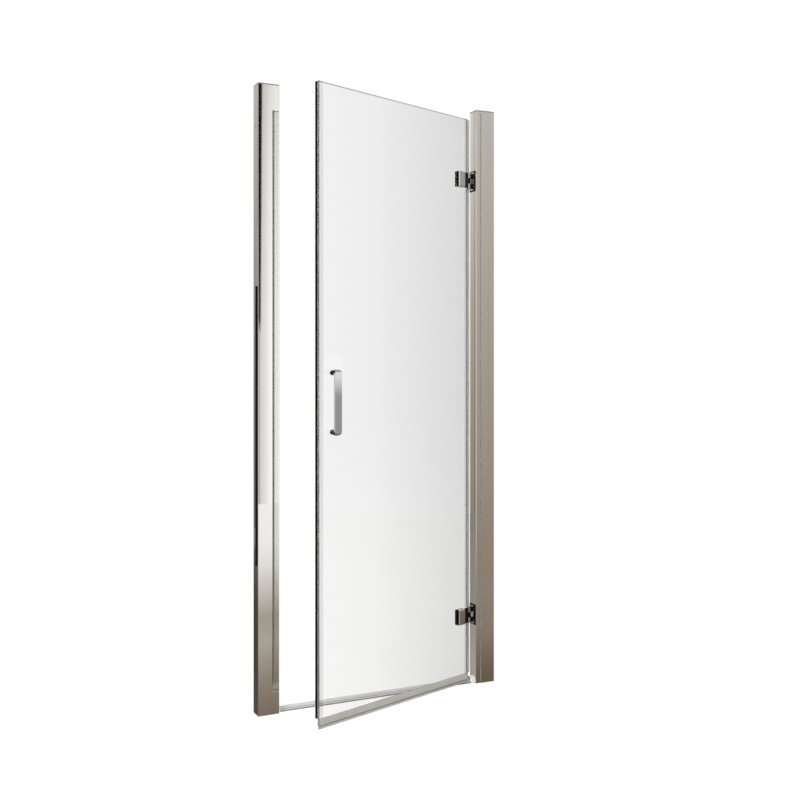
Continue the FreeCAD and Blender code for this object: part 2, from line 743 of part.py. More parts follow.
front_gaskets = []
back_gaskets = []
sleeves = []
clamp_screws = []
bushes = []
for name, level in HINGE_LEVELS.items():
    spots = clamp_spots(level)
    height = (f"{level} - clamp_height / 2", f"{level} + clamp_height / 2")
    share = (f"{level} - {KNUCKLE_SPLIT}", f"{level} + {KNUCKLE_SPLIT}")
    width = (CLAMP_FAR, CLAMP_NEAR)

    face = extrusion("XY_Plane", [
        rectangle(width, (f"-{CLAMP_FRONT}", f"-{CLAMP_FACE}")),
    ], "clamp_height")
    bevel_face(face, Vector(0, -1, 0), "clamp_bevel")
    put(face, z=height[0])
    arm_y = (f"-{KNUCKLE_RADIUS}", f"-{CLAMP_FACE}")
    arm = box((CLAMP_NEAR, "-glass_to_axis"), arm_y, height)
    tongue = box(("-glass_to_axis", "0"), arm_y, share)
    knuckle = rod("z", ("0", "0"), share[0], share[1], KNUCKLE_RADIUS)
    holes = [rod("z", ("0", "0"), share[0], share[1], BUSH_SEAT)]
    holes += [
        rod("y", spot, f"-{CLAMP_FACE} - clamp_screw_reach", f"-{CLAMP_FACE}", clamp_screw_hole)
        for spot in spots
    ]
    node(f"{name}_hinge_front_clamp", hang(bore(join(face, arm, tongue, knuckle), *holes)))

    back = extrusion("XY_Plane", [rectangle(width, (CLAMP_FACE, CLAMP_BACK))], "clamp_height")
    bevel_face(back, Vector(0, 1, 0), "clamp_bevel")
    put(back, z=height[0])
    sink = f"{CLAMP_BACK} - clamp_screw_head + clamp_screw_radius"
    holes = [rod("y", spot, CLAMP_FACE, CLAMP_BACK, clamp_screw_hole) for spot in spots]
    wide = "clamp_screw_head + screw_clearance"
    holes += [taper("y", spot, sink, CLAMP_BACK, clamp_screw_hole, wide) for spot in spots]
    node(f"{name}_hinge_back_clamp", hang(bore(back, *holes)))

    for spot in spots:
        shank = rod("y", spot, f"-{CLAMP_FACE} - clamp_screw_reach", sink, "clamp_screw_radius")
        head = taper("y", spot, sink, CLAMP_BACK, "clamp_screw_radius", "clamp_screw_head")
        clamp_screws.append(join(shank, head))
        tube = rod("y", spot, f"-{GLASS_FACE}", GLASS_FACE, "glass_hole_radius - sleeve_clearance")
        sleeves.append(bore(tube, rod("y", spot, f"-{GLASS_FACE}", GLASS_FACE, clamp_screw_hole)))
    for gaskets, low, high in (
        (front_gaskets, f"-{CLAMP_FACE}", f"-{GLASS_FACE}"),
        (back_gaskets, GLASS_FACE, CLAMP_FACE),
    ):
        pad_holes = [rod("y", spot, low, high, clamp_screw_hole) for spot in spots]
        gaskets.append(bore(box(width, (low, high), height), *pad_holes))
    for low, high, flange in (
        (share[0], level, (f"{share[0]} - bush_flange", share[0])),
        (level, share[1], (share[1], f"{share[1]} + bush_flange")),
    ):
        tube = rod("z", ("0", "0"), low, high, BUSH_RADIUS)
        rim = rod("z", ("0", "0"), flange[0], flange[1], "pin_radius + bush_flange_wall")
        ends = (f"{share[0]} - bush_flange", f"{share[1]} + bush_flange")
        hole = rod("z", ("0", "0"), ends[0], ends[1], PIN_HOLE)
        bushes.append(bore(join(tube, rim), hole))
node("front_clamp_gaskets", hang(group(*front_gaskets)))
node("back_clamp_gaskets", hang(group(*back_gaskets)))
node("clamp_sleeves", hang(group(*sleeves)))
node("clamp_screws", hang(group(*clamp_screws)))
node("hinge_bushes", hang(group(*bushes)))


# Handle: a flat strap bent back to the glass at both ends, on two bosses bolted through the glass

STRAP_BACK = f"({HANDLE_FRONT} - strap_thickness)"
FOOT_OUTER = "(handle_pitch / 2 + strap_thickness / 2)"
FOOT_INNER = "(handle_pitch / 2 - strap_thickness / 2)"
BAR_OUTER = "(handle_length / 2)"
BAR_INNER = "(handle_length / 2 - strap_thickness)"
LEG_END = f"({HANDLE_FRONT} - bend_outer - bend_run)"

strap = extrusion("YZ_Plane", [[
    (f"-{HANDLE_SEAT}", f"-{FOOT_OUTER}"),
    (f"-{LEG_END}", f"-{BAR_OUTER}"),
    (f"-{HANDLE_FRONT}", f"-{BAR_OUTER}"),
    (f"-{HANDLE_FRONT}", BAR_OUTER),
    (f"-{LEG_END}", BAR_OUTER),
    (f"-{HANDLE_SEAT}", FOOT_OUTER),
    (f"-{HANDLE_SEAT}", FOOT_INNER),
    (f"-{STRAP_BACK}", BAR_INNER),
    (f"-{STRAP_BACK}", f"-{BAR_INNER}"),
    (f"-{HANDLE_SEAT}", f"-{FOOT_INNER}"),
]], "handle_width", midplane=True)
for depth, reach, size in (
    (HANDLE_FRONT, BAR_OUTER, "bend_outer"),
    (STRAP_BACK, BAR_INNER, "bend_inner"),
):
    bends = [Vector(0, -value(depth), turn * value(reach)) for turn in (-1, 1)]
    dress(strap, "PartDesign::Fillet", edges_at(strap.Shape, Vector(1, 0, 0), bends), Radius=size)
put(strap, HANDLE_X, "0", "handle_level")
pill = extrusion("XZ_Plane", [
    rectangle(("-handle_width / 2", "handle_width / 2"), (f"-{BAR_OUTER}", BAR_OUTER)),
], HANDLE_FRONT)
corners = [
    Vector(side * value("handle_width") / 2, 0, end * value(BAR_OUTER))
    for side in (-1, 1)
    for end in (-1, 1)
]
dress(pill, "PartDesign::Fillet", edges_at(pill.Shape, Vector(0, 1, 0), corners), Radius="end_round")
put(pill, HANDLE_X, "0", "handle_level")
soft_strap = doc.addObject("Part::MultiCommon", "RoundedStrap")
soft_strap.Shapes = [strap, pill]
bosses = [rod("y", spot, f"-{STRAP_BACK}", f"-{HANDLE_SEAT}", "boss_radius") for spot in HANDLE_SPOTS]
bolt_hole = "bolt_radius + screw_clearance"
taps = [
    rod("y", spot, f"-{HANDLE_SEAT} - bolt_reach", f"-{HANDLE_SEAT}", bolt_hole)
    for spot in HANDLE_SPOTS
]
node("handle", hang(bore(join(soft_strap, *bosses), *taps)))

front_washers = []
back_washers = []
bolts = []
handle_sleeves = []
for spot in HANDLE_SPOTS:
    for washers, low, high in (
        (front_washers, f"-{HANDLE_SEAT}", f"-{GLASS_FACE}"),
        (back_washers, GLASS_FACE, HANDLE_SEAT),
    ):
        disc = rod("y", spot, low, high, "washer_radius")
        washers.append(bore(disc, rod("y", spot, low, high, bolt_hole)))
    tube = rod("y", spot, f"-{GLASS_FACE}", GLASS_FACE, "glass_hole_radius - sleeve_clearance")
    handle_sleeves.append(bore(tube, rod("y", spot, f"-{GLASS_FACE}", GLASS_FACE, bolt_hole)))
    shank = rod("y", spot, f"-{HANDLE_SEAT} - bolt_reach", HANDLE_SEAT, "bolt_radius")
    head_top = f"{HANDLE_SEAT} + bolt_head_height"
    tip = "bolt_head_radius - bolt_head_taper"
    head = taper("y", spot, HANDLE_SEAT, head_top, "bolt_head_radius", tip)
    bolts.append(join(shank, head))
node("handle_front_washers", hang(group(*front_washers)))
node("handle_back_washers", hang(group(*back_washers)))
node("handle_sleeves", hang(group(*handle_sleeves)))
node("handle_bolts", hang(group(*bolts)))


# Checks, then one file per piece

doc.recompute()
for obj in doc.Objects:
    faults = {"Invalid", "Error"} & set(obj.State)
    if faults:
        raise RuntimeError(f"{obj.Label} ({obj.TypeId}): {obj.State}")
os.makedirs("parts", exist_ok=True)
for label, obj in nodes.items():
    if obj.Shape.isNull() or not obj.Shape.isValid():
        raise RuntimeError(f"{label}: no valid shape")
for label, obj in nodes.items():
    obj.Shape.exportStep(f"parts/{label}.step")
print(len(nodes), "pieces")
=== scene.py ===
import json
import math

import bmesh
import bpy
from bpy.props import FloatProperty, FloatVectorProperty, IntProperty, PointerProperty
from mathutils import Matrix, Vector


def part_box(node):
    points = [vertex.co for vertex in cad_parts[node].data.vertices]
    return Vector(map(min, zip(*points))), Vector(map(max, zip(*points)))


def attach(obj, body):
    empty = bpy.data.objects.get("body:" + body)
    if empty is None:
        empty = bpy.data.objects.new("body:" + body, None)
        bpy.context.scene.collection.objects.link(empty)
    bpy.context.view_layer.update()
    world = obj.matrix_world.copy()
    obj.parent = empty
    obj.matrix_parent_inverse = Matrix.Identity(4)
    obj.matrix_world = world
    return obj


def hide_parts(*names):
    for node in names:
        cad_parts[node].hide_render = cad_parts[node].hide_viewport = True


bl_info = {
    "name": "Hinged shower door",
    "version": (1, 0, 0),
    "blender": (4, 5, 0),
    "location": "3D View > Sidebar > Shower Door",
    "description": "Finishes a hinged shower door around its packed frame, and sets up its studio",
    "category": "Object",
}

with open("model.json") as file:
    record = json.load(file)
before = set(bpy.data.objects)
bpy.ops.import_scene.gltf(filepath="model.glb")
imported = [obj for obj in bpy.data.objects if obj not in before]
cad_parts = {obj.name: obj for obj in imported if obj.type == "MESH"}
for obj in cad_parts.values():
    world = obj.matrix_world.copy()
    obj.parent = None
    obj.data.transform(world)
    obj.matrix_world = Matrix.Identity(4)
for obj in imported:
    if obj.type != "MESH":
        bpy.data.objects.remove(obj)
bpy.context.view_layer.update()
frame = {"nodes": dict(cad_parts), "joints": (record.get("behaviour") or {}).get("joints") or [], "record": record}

# The leaf is drawn closed about the hinge axis, then turned ajar as the frame holds it
SWING = frame["joints"][0]
PIVOT = Vector((SWING["pos_m"][0], SWING["pos_m"][1], 0.0))
AJAR = math.radians(-SWING["range_deg"][0])
LEAF = Matrix.Translation(PIVOT) @ Matrix.Rotation(AJAR, 4, "Z")
CLOSED = LEAF.inverted()
LEAF_FACE = LEAF.to_3x3() @ Vector((0.0, -1.0, 0.0))
LEAF_END = LEAF.to_3x3() @ Vector((-1.0, 0.0, 0.0))


def extent(corners):
    """Lowest and highest corner of a list of corners."""
    low = Vector(min(corner[axis] for corner in corners) for axis in range(3))
    high = Vector(max(corner[axis] for corner in corners) for axis in range(3))
    return low, high


def leaf_box(name):
    """Lowest and highest corner of a node of the leaf, with the leaf closed about its axis."""
    return extent([CLOSED @ vertex.co for vertex in frame["nodes"][name].data.vertices])


def frame_box(name):
    """Lowest and highest corner of a node."""
    low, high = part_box(name)
    return Vector(low), Vector(high)


STRAP_THICKNESS = 0.0055
# Skin of the hinges' knuckles, as distances from the axis
KNUCKLE_SKIN = (0.0066, 0.0078)
# Which way the highlight lines on the knuckles face, one of them towards the camera, and how narrow they are, as a
# cosine; there the knuckles keep plain chrome amid the painted shade
GLINT_SIDES = (LEAF_FACE, Vector((-0.441, -0.898, 0.0)))
GLINT_SPREAD = 0.95
# Painted shade on the hinge plates' rims, then a bright frame left in plain chrome, inwards from their upright and
# level edges
PLATE_RIM = {1: 0.0055, 2: 0.0045}
PLATE_FRAME = {1: 0.011, 2: 0.009}
# How deep the magnet strips are black, before their pale backing
MAGNET_FRONT = 0.002
# Hair's breadth that keeps the faces of clear pieces off those they touch
HAIR = 0.00005
# How far the hinge edge's seal is hazy over the glass, before its clear lips
HAZE_WIDTH = 0.004
# Where the bottom seal's fin begins, from the glass down
FIN_ROOT = -0.0022
# How much of the threshold's front face lies in shade, from the tray up
SHADED_SHARE = 0.35
# Faces whose normal's Y is below this look out of the shower
LOOKS_OUT = -0.5
# How squarely a clamp's free end and a plate's front must face sideways, as cosines; such a clamp end takes
# painted shade
CLAMP_END = 0.95
PLATE_FRONT = 0.97
# Where the painted shade on the clamps' arms begins, back from the end of their blocks
ARM_START = 0.0008
# How far behind its strap the handle takes painted shade
STRAP_SHADE = 0.0006
# Top of the bottom seal's painted shade line, from the glass's lower edge up
SEAL_LINE_TOP = 0.0003
# Jamb wipers: thickness, how much shorter than the profile, share of the gap filled, and rounding
WIPER_THICKNESS = 0.0014
WIPER_SHORTER = 0.012
WIPER_SHARE = 0.8
WIPER_EDGE = 0.0003
# Wall of the screw covers, and the straight land at the rim of countersunk heads
COVER_WALL = 0.001
HEAD_LAND = 0.0002
# Steps around turned heads and around rings, and sides of the heads' sockets
HEAD_STEPS = 36
RING_STEPS = 40
SOCKET_SIDES = 6
# Corners closer than this are one corner, and those this near a screw's end belong to the end
MERGE = 1e-6
END_DEPTH = 1e-5
# Folds below the first angle are flat, above the second they are rounded, above the third sharp
FLAT_FOLD = math.radians(0.5)
ROUND_FOLD = math.radians(50)
SHARP_FOLD = math.radians(32)
# Cut edges of the glass: the cosine below which a face is one, and how much less clear they are
CUT_EDGE = 0.6
CUT_DULLNESS = 0.8
# Depth and colour of the pale line along the top of the glass
ARRIS_DEPTH = 0.003
ARRIS_COLOR = (0.52, 0.53, 0.52)
# Height of the cards that lie on the floor
CARD_LEVEL = 0.002


def settings():
    """The values that the panel shows."""
    return bpy.context.scene.shower_door


# Properties

class DoorSettings(bpy.types.PropertyGroup):
    """Sizes and colours of the finished door and its studio"""

    profile_edge: FloatProperty(
        name="Profile edge", description="Rounding of the drawn profiles' edges",
        default=0.0004, unit="LENGTH", precision=4)
    cap_edge: FloatProperty(
        name="Cap edge", description="Rounding of the moulded caps and end blocks",
        default=0.0006, unit="LENGTH", precision=4)
    hinge_edge: FloatProperty(
        name="Hinge edge", description="Rounding of the hinges' edges",
        default=0.0005, unit="LENGTH", precision=4)
    seal_edge: FloatProperty(
        name="Seal edge", description="Rounding of the extruded seals",
        default=0.0003, unit="LENGTH", precision=4)
    handle_edge: FloatProperty(
        name="Handle edge", description="Rounding of the handle strap's edges",
        default=0.0011, unit="LENGTH", precision=4)
    edge_steps: IntProperty(
        name="Edge steps", description="Segments of each rounded edge", default=3, min=1, max=6)
    profile_color: FloatVectorProperty(
        name="Profiles", description="Polished aluminium", subtype="COLOR",
        default=(0.895, 0.896, 0.87), min=0, max=1)
    chrome_color: FloatVectorProperty(
        name="Chrome", description="Plating of the hinges and the handle", subtype="COLOR",
        default=(0.80, 0.80, 0.795), min=0, max=1)
    # Ends of the painted shade across the glass: darker towards the hinges, in place of the reflections there
    glass_free_shade: FloatVectorProperty(
        name="Glass, free side", description="Tint of the glass at the free edge", subtype="COLOR",
        default=(0.922, 0.922, 0.922), min=0, max=1)
    glass_hinge_shade: FloatVectorProperty(
        name="Glass, hinge side", description="Tint of the glass at the hinge edge", subtype="COLOR",
        default=(0.725, 0.725, 0.725), min=0, max=1)
    glass_cut: FloatVectorProperty(
        name="Glass edge", description="Dark cut edge of the glass", subtype="COLOR",
        default=(0.30, 0.31, 0.29), min=0, max=1)
    # Painted shade: this near-black stands in for the shade and dark reflections on the hinges' knuckles, arms,
    # clamp ends and plate rims, and on the handle behind its strap
    shade_color: FloatVectorProperty(
        name="Hinge shade", description="Dark plating of the knuckles and the plates' rims",
        subtype="COLOR", default=(0.022, 0.022, 0.021), min=0, max=1)
    seal_color: FloatVectorProperty(
        name="Clear seals", description="Clear vinyl of the free edge's seal", subtype="COLOR",
        default=(0.92, 0.92, 0.905), min=0, max=1)
    haze_color: FloatVectorProperty(
        name="Hazy seals", description="Hazy vinyl of the hinge edge's and bottom seals",
        subtype="COLOR", default=(0.58, 0.58, 0.52), min=0, max=1)
    magnet_color: FloatVectorProperty(
        name="Magnet", description="Black magnetic strip", subtype="COLOR",
        default=(0.005, 0.005, 0.0045), min=0, max=1)
    camera_place: FloatVectorProperty(
        name="Camera", description="Where the camera stands", subtype="TRANSLATION", unit="LENGTH",
        default=(-1.3783, -2.9491, 1.0073))
    camera_heading: FloatProperty(
        name="Heading", description="Turn of the level camera away from +Y towards +X",
        default=math.radians(26.173), subtype="ANGLE")
    camera_lens: FloatProperty(
        name="Lens", description="Focal length in millimetres on a 36 mm sensor", default=47.25)
    camera_shift: FloatProperty(
        name="Shift", description="Vertical shift, as a share of the picture", default=-0.03575)


# Materials

def material(name):
    """New node material, with its tree and its main shader."""
    made = bpy.data.materials.new(name)
    made.use_nodes = True
    tree = made.node_tree
    return made, tree, tree.nodes["Principled BSDF"]


def node(tree, kind, **values):
    """New shader node with its plain settings."""
    made = tree.nodes.new(kind)
    for name, value in values.items():
        setattr(made, name, value)
    return made


def place(tree, stretch=(1.0, 1.0, 1.0)):
    """Object coordinates, stretched for drawn or brushed patterns."""
    source = node(tree, "ShaderNodeTexCoord")
    mapping = node(tree, "ShaderNodeMapping")
    mapping.inputs["Scale"].default_value = stretch
    tree.links.new(source.outputs["Object"], mapping.inputs["Vector"])
    return mapping.outputs["Vector"]


def noise(tree, vector, scale, detail=3.0):
    """Soft noise on given coordinates."""
    made = node(tree, "ShaderNodeTexNoise")
    made.inputs["Scale"].default_value = scale
    made.inputs["Detail"].default_value = detail
    tree.links.new(vector, made.inputs["Vector"])
    return made.outputs["Fac"]


def ramp(tree, value, stops):
    """Colours along a value from 0 to 1."""
    made = node(tree, "ShaderNodeValToRGB")
    band = made.color_ramp
    while len(band.elements) < len(stops):
        band.elements.new(0.5)
    for element, (position, color) in zip(band.elements, stops):
        element.position = position
        element.color = (*color, 1.0)
    tree.links.new(value, made.inputs["Fac"])
    return made.outputs["Color"]


def shade(color, factor):
    """A colour made darker or lighter."""
    return tuple(min(1.0, channel * factor) for channel in color)


def mottle(tree, shader, color, spread, scale, stretch=(1.0, 1.0, 1.0)):
    """Uneven colour: the given one, a little darker and lighter by noise."""
    value = noise(tree, place(tree, stretch), scale)
    stops = [(0.3, shade(color, 1.0 - spread)), (0.7, shade(color, 1.0 + spread))]
    tree.links.new(ramp(tree, value, stops), shader.inputs["Base Color"])


def grain(tree, shader, scale, strength, depth, stretch=(1.0, 1.0, 1.0)):
    """Fine relief from noise."""
    bump = node(tree, "ShaderNodeBump")
    bump.inputs["Strength"].default_value = strength
    bump.inputs["Distance"].default_value = depth
    tree.links.new(noise(tree, place(tree, stretch), scale), bump.inputs["Height"])
    tree.links.new(bump.outputs["Normal"], shader.inputs["Normal"])


def set_sockets(shader, values):
    """Plain values on a shader's own sockets."""
    for name, value in values.items():
        shader.inputs[name].default_value = value


def polished_metal(name, color, roughness, metallic=1.0):
    """Bright drawn or plated metal, with faint lengthwise ripples."""
    made, tree, shader = material(name)
    set_sockets(shader, {"Metallic": metallic, "Roughness": roughness})
    lengthwise = (1.0, 1.0, 0.02)
    mottle(tree, shader, color, spread=0.03, scale=60.0, stretch=lengthwise)
    grain(tree, shader, scale=220.0, strength=0.004, depth=0.0002, stretch=lengthwise)
    return made


def moulded_plastic(name, color, roughness):
    """Moulded plastic with a fine skin."""
    made, tree, shader = material(name)
    set_sockets(shader, {"Roughness": roughness})
    mottle(tree, shader, color, spread=0.05, scale=90.0)
    grain(tree, shader, scale=900.0, strength=0.12, depth=0.0001)
    return made


def clear_vinyl(name, color, clearness, roughness, bend=1.3):
    """Clear or hazy flexible vinyl with faint lengthwise draw lines."""
    made, tree, shader = material(name)
    set_sockets(shader, {"Roughness": roughness, "IOR": bend, "Transmission Weight": clearness})
    mottle(tree, shader, color, spread=0.02, scale=45.0, stretch=(1.0, 1.0, 0.05))
    grain(tree, shader, scale=260.0, strength=0.003, depth=0.0002, stretch=(1.0, 1.0, 0.03))
    return made


def dull_rubber(name, color, gloss=0.1):
    """Dull dark rubber, as of magnetic strips and wipers."""
    made, tree, shader = material(name)
    set_sockets(shader, {"Roughness": 0.55, "Specular IOR Level": gloss})
    mottle(tree, shader, color, spread=0.2, scale=120.0)
    grain(tree, shader, scale=1400.0, strength=0.08, depth=0.0001)
    return made


def leaf_coordinates(tree):
    """Coordinates on the closed leaf: X across from the hinge axis, Z up."""
    source = node(tree, "ShaderNodeTexCoord")
    mapping = node(tree, "ShaderNodeMapping", vector_type="TEXTURE")
    mapping.inputs["Location"].default_value = PIVOT
    mapping.inputs["Rotation"].default_value = (0.0, 0.0, AJAR)
    tree.links.new(source.outputs["Object"], mapping.inputs["Vector"])
    split = node(tree, "ShaderNodeSeparateXYZ")
    tree.links.new(mapping.outputs["Vector"], split.inputs["Vector"])
    return split, source


def share_of(tree, value, first, last):
    """How far a linked value lies on the way from a first to a last one."""
    made = node(tree, "ShaderNodeMapRange")
    set_sockets(made, {"From Min": first, "From Max": last})
    tree.links.new(value, made.inputs["Value"])
    return made.outputs["Result"]


def worked(tree, operation, value, *numbers):
    """Result of an operation on a linked value and plain numbers."""
    made = node(tree, "ShaderNodeMath", operation=operation)
    tree.links.new(value, made.inputs[0])
    for socket, number in zip(made.inputs[1:], numbers):
        socket.default_value = number
    return made.outputs["Value"]


def blended(tree, share, first, second):
    """Shader between two others, by a linked share."""
    mix = node(tree, "ShaderNodeMixShader")
    for socket, source in zip(mix.inputs, (share, first, second)):
        tree.links.new(source, socket)
    return mix.outputs["Shader"]


def mixed(tree, share, first, second):
    """Colour between a linked first one and a plain second one, by a linked share."""
    mix = node(tree, "ShaderNodeMix", data_type="RGBA")
    pair = [socket for socket in mix.inputs if socket.type == "RGBA"]
    pair[1].default_value = (*second, 1.0)
    tree.links.new(share, mix.inputs[0])
    tree.links.new(first, pair[0])
    return next(socket for socket in mix.outputs if socket.type == "RGBA")


def clear_glass(name, free, hinge, cut):
    """Clear glass whose cut edges look dark, with painted shade in its colour that darkens it towards the hinges.
    """
    made, tree, shader = material(name)
    set_sockets(shader, {"Roughness": 0.0, "IOR": 1.45})
    across, source = leaf_coordinates(tree)
    low, high = leaf_box("glass_panel")
    # Painted shade: the glass's colour darkens from the free edge towards the hinges
    steps = ((0.0, 0.0), (0.35, 0.17), (0.48, 0.36), (0.61, 0.52), (0.74, 0.69), (1.0, 1.0))
    stops = [(spot, tuple(Vector(free).lerp(Vector(hinge), part))) for spot, part in steps]
    painted_glass_shade = ramp(tree, share_of(tree, across.outputs["X"], low.x, high.x), stops)
    outwards = node(tree, "ShaderNodeVectorMath", operation="DOT_PRODUCT")
    outwards.inputs[1].default_value = LEAF_FACE
    tree.links.new(source.outputs["Normal"], outwards.inputs[0])
    size = worked(tree, "ABSOLUTE", outwards.outputs["Value"])
    edge = worked(tree, "LESS_THAN", size, CUT_EDGE)
    clearness = worked(tree, "MULTIPLY_ADD", edge, -CUT_DULLNESS, 1.0)
    tree.links.new(clearness, shader.inputs["Transmission Weight"])
    arris = worked(tree, "GREATER_THAN", across.outputs["Z"], high.z - ARRIS_DEPTH)
    lined = mixed(tree, arris, painted_glass_shade, ARRIS_COLOR)
    tree.links.new(mixed(tree, edge, lined, cut), shader.inputs["Base Color"])
    return made


FINISHES = {}


def make_finishes():
    """One material for each material slot of the record, and those of the pieces' second tones."""
    values = settings()
    profile = tuple(values.profile_color)
    chrome = tuple(values.chrome_color)
    FINISHES.update({
        "profile_metal": polished_metal("polished_profile", profile, 0.02),
        "threshold_metal": polished_metal("bright_threshold", (0.60, 0.60, 0.595), 0.45, metallic=0.25),
        "threshold_shade": polished_metal("shaded_threshold", (0.12, 0.12, 0.12), 0.45, metallic=0.25),
        "hinge_chrome": polished_metal("hinge_plating", shade(chrome, 0.9), 0.03),
        "handle_chrome": polished_metal("handle_plating", chrome, 0.03),
        "steel": polished_metal("plain_steel", (0.52, 0.52, 0.51), 0.28),
        "cap_plastic": moulded_plastic("grey_cap", (0.17, 0.17, 0.165), 0.3),
        "foot_plastic": moulded_plastic("pale_block", (0.80, 0.80, 0.76), 0.42),
        "nylon": moulded_plastic("nylon_bush", (0.82, 0.81, 0.78), 0.45),
        "clear_seal": clear_vinyl("clear_seal", tuple(values.seal_color), 1.0, 0.0, 1.14),
        "hazy_seal": clear_vinyl("hazy_seal", tuple(values.haze_color), 0.55, 0.12),
        "bottom_haze": clear_vinyl("bottom_seal", (0.58, 0.58, 0.53), 0.4, 0.12),
        # Painted shade: a dark line along the bottom seal, just under the glass
        "seal_shade_line": dull_rubber("seal_shade_line", (0.07, 0.07, 0.065), 0.3),
        "gasket_rubber": dull_rubber("gasket_rubber", (0.012, 0.012, 0.011)),
        # Painted shade for the hinges, and for the handle behind its strap
        "hinge_shade": polished_metal("shaded_plating", tuple(values.shade_color), 0.06),
        # Wipers, which also stand in for the shade in the gap between the jamb and its wall profile
        "wiper_rubber_and_gap_shade": dull_rubber("wiper_rubber_and_gap_shade", (0.25, 0.24, 0.22), 0.4),
        "magnet_strip": dull_rubber("magnet_strip", tuple(values.magnet_color)),
        "glass": clear_glass(
            "clear_glass", tuple(values.glass_free_shade), tuple(values.glass_hinge_shade), tuple(values.glass_cut)),
    })


def slot_of(name):
    """The record's material slot of a node."""
    rows = frame["record"]["subparts"]
    return next(row["material_slot"] for row in rows if row["node"] == name)


def dress(piece, *finishes):
    """Give an object its finishes, in the order of its faces' material numbers."""
    if piece.data.materials:
        piece.data.materials.clear()
    for finish in finishes:
        piece.data.materials.append(FINISHES[finish])


# Making pieces

def linked_piece(shape, name, body, slot, finishes=()):
    """Turn a bmesh into an object that rides on a body."""
    mesh = bpy.data.meshes.new(name)
    shape.to_mesh(mesh)
    shape.free()
    for face in mesh.polygons:
        face.use_smooth = True
    mesh.set_sharp_from_angle(angle=SHARP_FOLD)
    piece = bpy.data.objects.new(name, mesh)
    bpy.context.scene.collection.objects.link(piece)
    flat = piece.modifiers.new("flat_faces", "WEIGHTED_NORMAL")
    flat.keep_sharp = True
    flat.weight = 100
    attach(piece, body)
    dress(piece, *(finishes or (slot,)))
    return piece


def finished_piece(shape, name, node_name, finishes=()):
    """Turn a bmesh into the piece that stands for a CAD node."""
    piece = linked_piece(shape, name, body_of(node_name), slot_of(node_name), finishes)
    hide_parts(node_name)
    return piece


def body_of(name):
    """The body that a node belongs to."""
    bodies = frame["record"]["behaviour"]["bodies"]
    return next(body for body, members in bodies.items() if name in members)


def node_mesh(name):
    """A node's mesh, its corners merged."""
    shape = bmesh.new()
    shape.from_mesh(frame["nodes"][name].data)
    bmesh.ops.remove_doubles(shape, verts=shape.verts, dist=MERGE)
    return shape


def merged_copy(name):
    """A node's mesh as one clean solid: corners merged and flat triangles joined."""
    shape = node_mesh(name)
    bmesh.ops.dissolve_limit(shape, angle_limit=FLAT_FOLD, verts=shape.verts, edges=shape.edges)
    return shape


def cut_through(shape, spot, direction):
    """Cut all faces along a plane, and keep both sides."""
    everything = shape.verts[:] + shape.edges[:] + shape.faces[:]
    bmesh.ops.bisect_plane(shape, geom=everything, plane_co=spot, plane_no=direction)


def soften(shape, width, steps):
    """Round the outer edges of a solid."""
    sharp = [
        edge for edge in shape.edges
        if edge.is_manifold and edge.is_convex and edge.calc_face_angle() > ROUND_FOLD
    ]
    bmesh.ops.bevel(
        shape, geom=sharp, offset=width, offset_type="OFFSET", affect="EDGES", segments=steps,
        profile=0.5, material=-1, clamp_overlap=True)
    return shape


def off_the_glass(shape, *sides):
    """Keep a seal's faces a hair's breadth off the sides of the glass that they grip."""
    box = leaf_box("glass_panel")
    for axis, end in sides:
        away = Vector((0.0, 0.0, 0.0))
        away[axis] = HAIR if end else -HAIR
        touching = [
            vertex for vertex in shape.verts
            if abs((CLOSED @ vertex.co)[axis] - box[end][axis]) < HAIR / 2
        ]
        bmesh.ops.translate(shape, vec=LEAF.to_3x3() @ away, verts=touching)


def softened_piece(name, width, finishes=(), second=None, seams=(), grip=()):
    """A node again, its outer edges rounded; faces that pass the test take the second finish.

    Seams, each a point and a direction, cut the faces where the finish changes.
    A grip names the sides of the glass that a seal holds, as axis and low or high end.
    """
    shape = merged_copy(name)
    off_the_glass(shape, *grip)
    soften(shape, width, settings().edge_steps)
    for spot, direction in seams:
        cut_through(shape, spot, direction)
    for face in shape.faces:
        if second and second(face.calc_center_median(), face.normal):
            face.material_index = 1
    return finished_piece(shape, f"{name}_finished", name, finishes)


def glints(centre, normal):
    """Whether a face lies on one of the highlight lines down the hinges' knuckles, kept in plain chrome amid the
    painted shade.
    """
    out = (centre - PIVOT).to_2d().length
    bright = any(normal.dot(side) > GLINT_SPREAD for side in GLINT_SIDES)
    return KNUCKLE_SKIN[0] < out < KNUCKLE_SKIN[1] and bright


def solids(name):
    """The separate solids of a node, as lists of corners, with the leaf closed for its nodes."""
    shape = node_mesh(name)
    if body_of(name) == "leaf":
        bmesh.ops.transform(shape, matrix=CLOSED, verts=shape.verts)
    waiting = set(shape.verts)
    found = []
    while waiting:
        front = [waiting.pop()]
        group = []
        while front:
            vertex = front.pop()
            group.append(vertex.co.copy())
            for edge in vertex.link_edges:
                other = edge.other_vert(vertex)
                if other in waiting:
                    waiting.remove(other)
                    front.append(other)
        found.append(group)
    shape.free()
    return found


def radius_of(corner, middle, axis):
    """Distance of a corner from the line along an axis through the middle."""
    first, second = (other for other in range(3) if other != axis)
    return math.hypot(corner[first] - middle[first], corner[second] - middle[second])


def end_radius(corners, middle, axis, end):
    """Least radius of a turned piece's corners at one end of its axis."""
    return min(radius_of(corner, middle, axis) for corner in corners
               if abs(corner[axis] - end) < END_DEPTH)


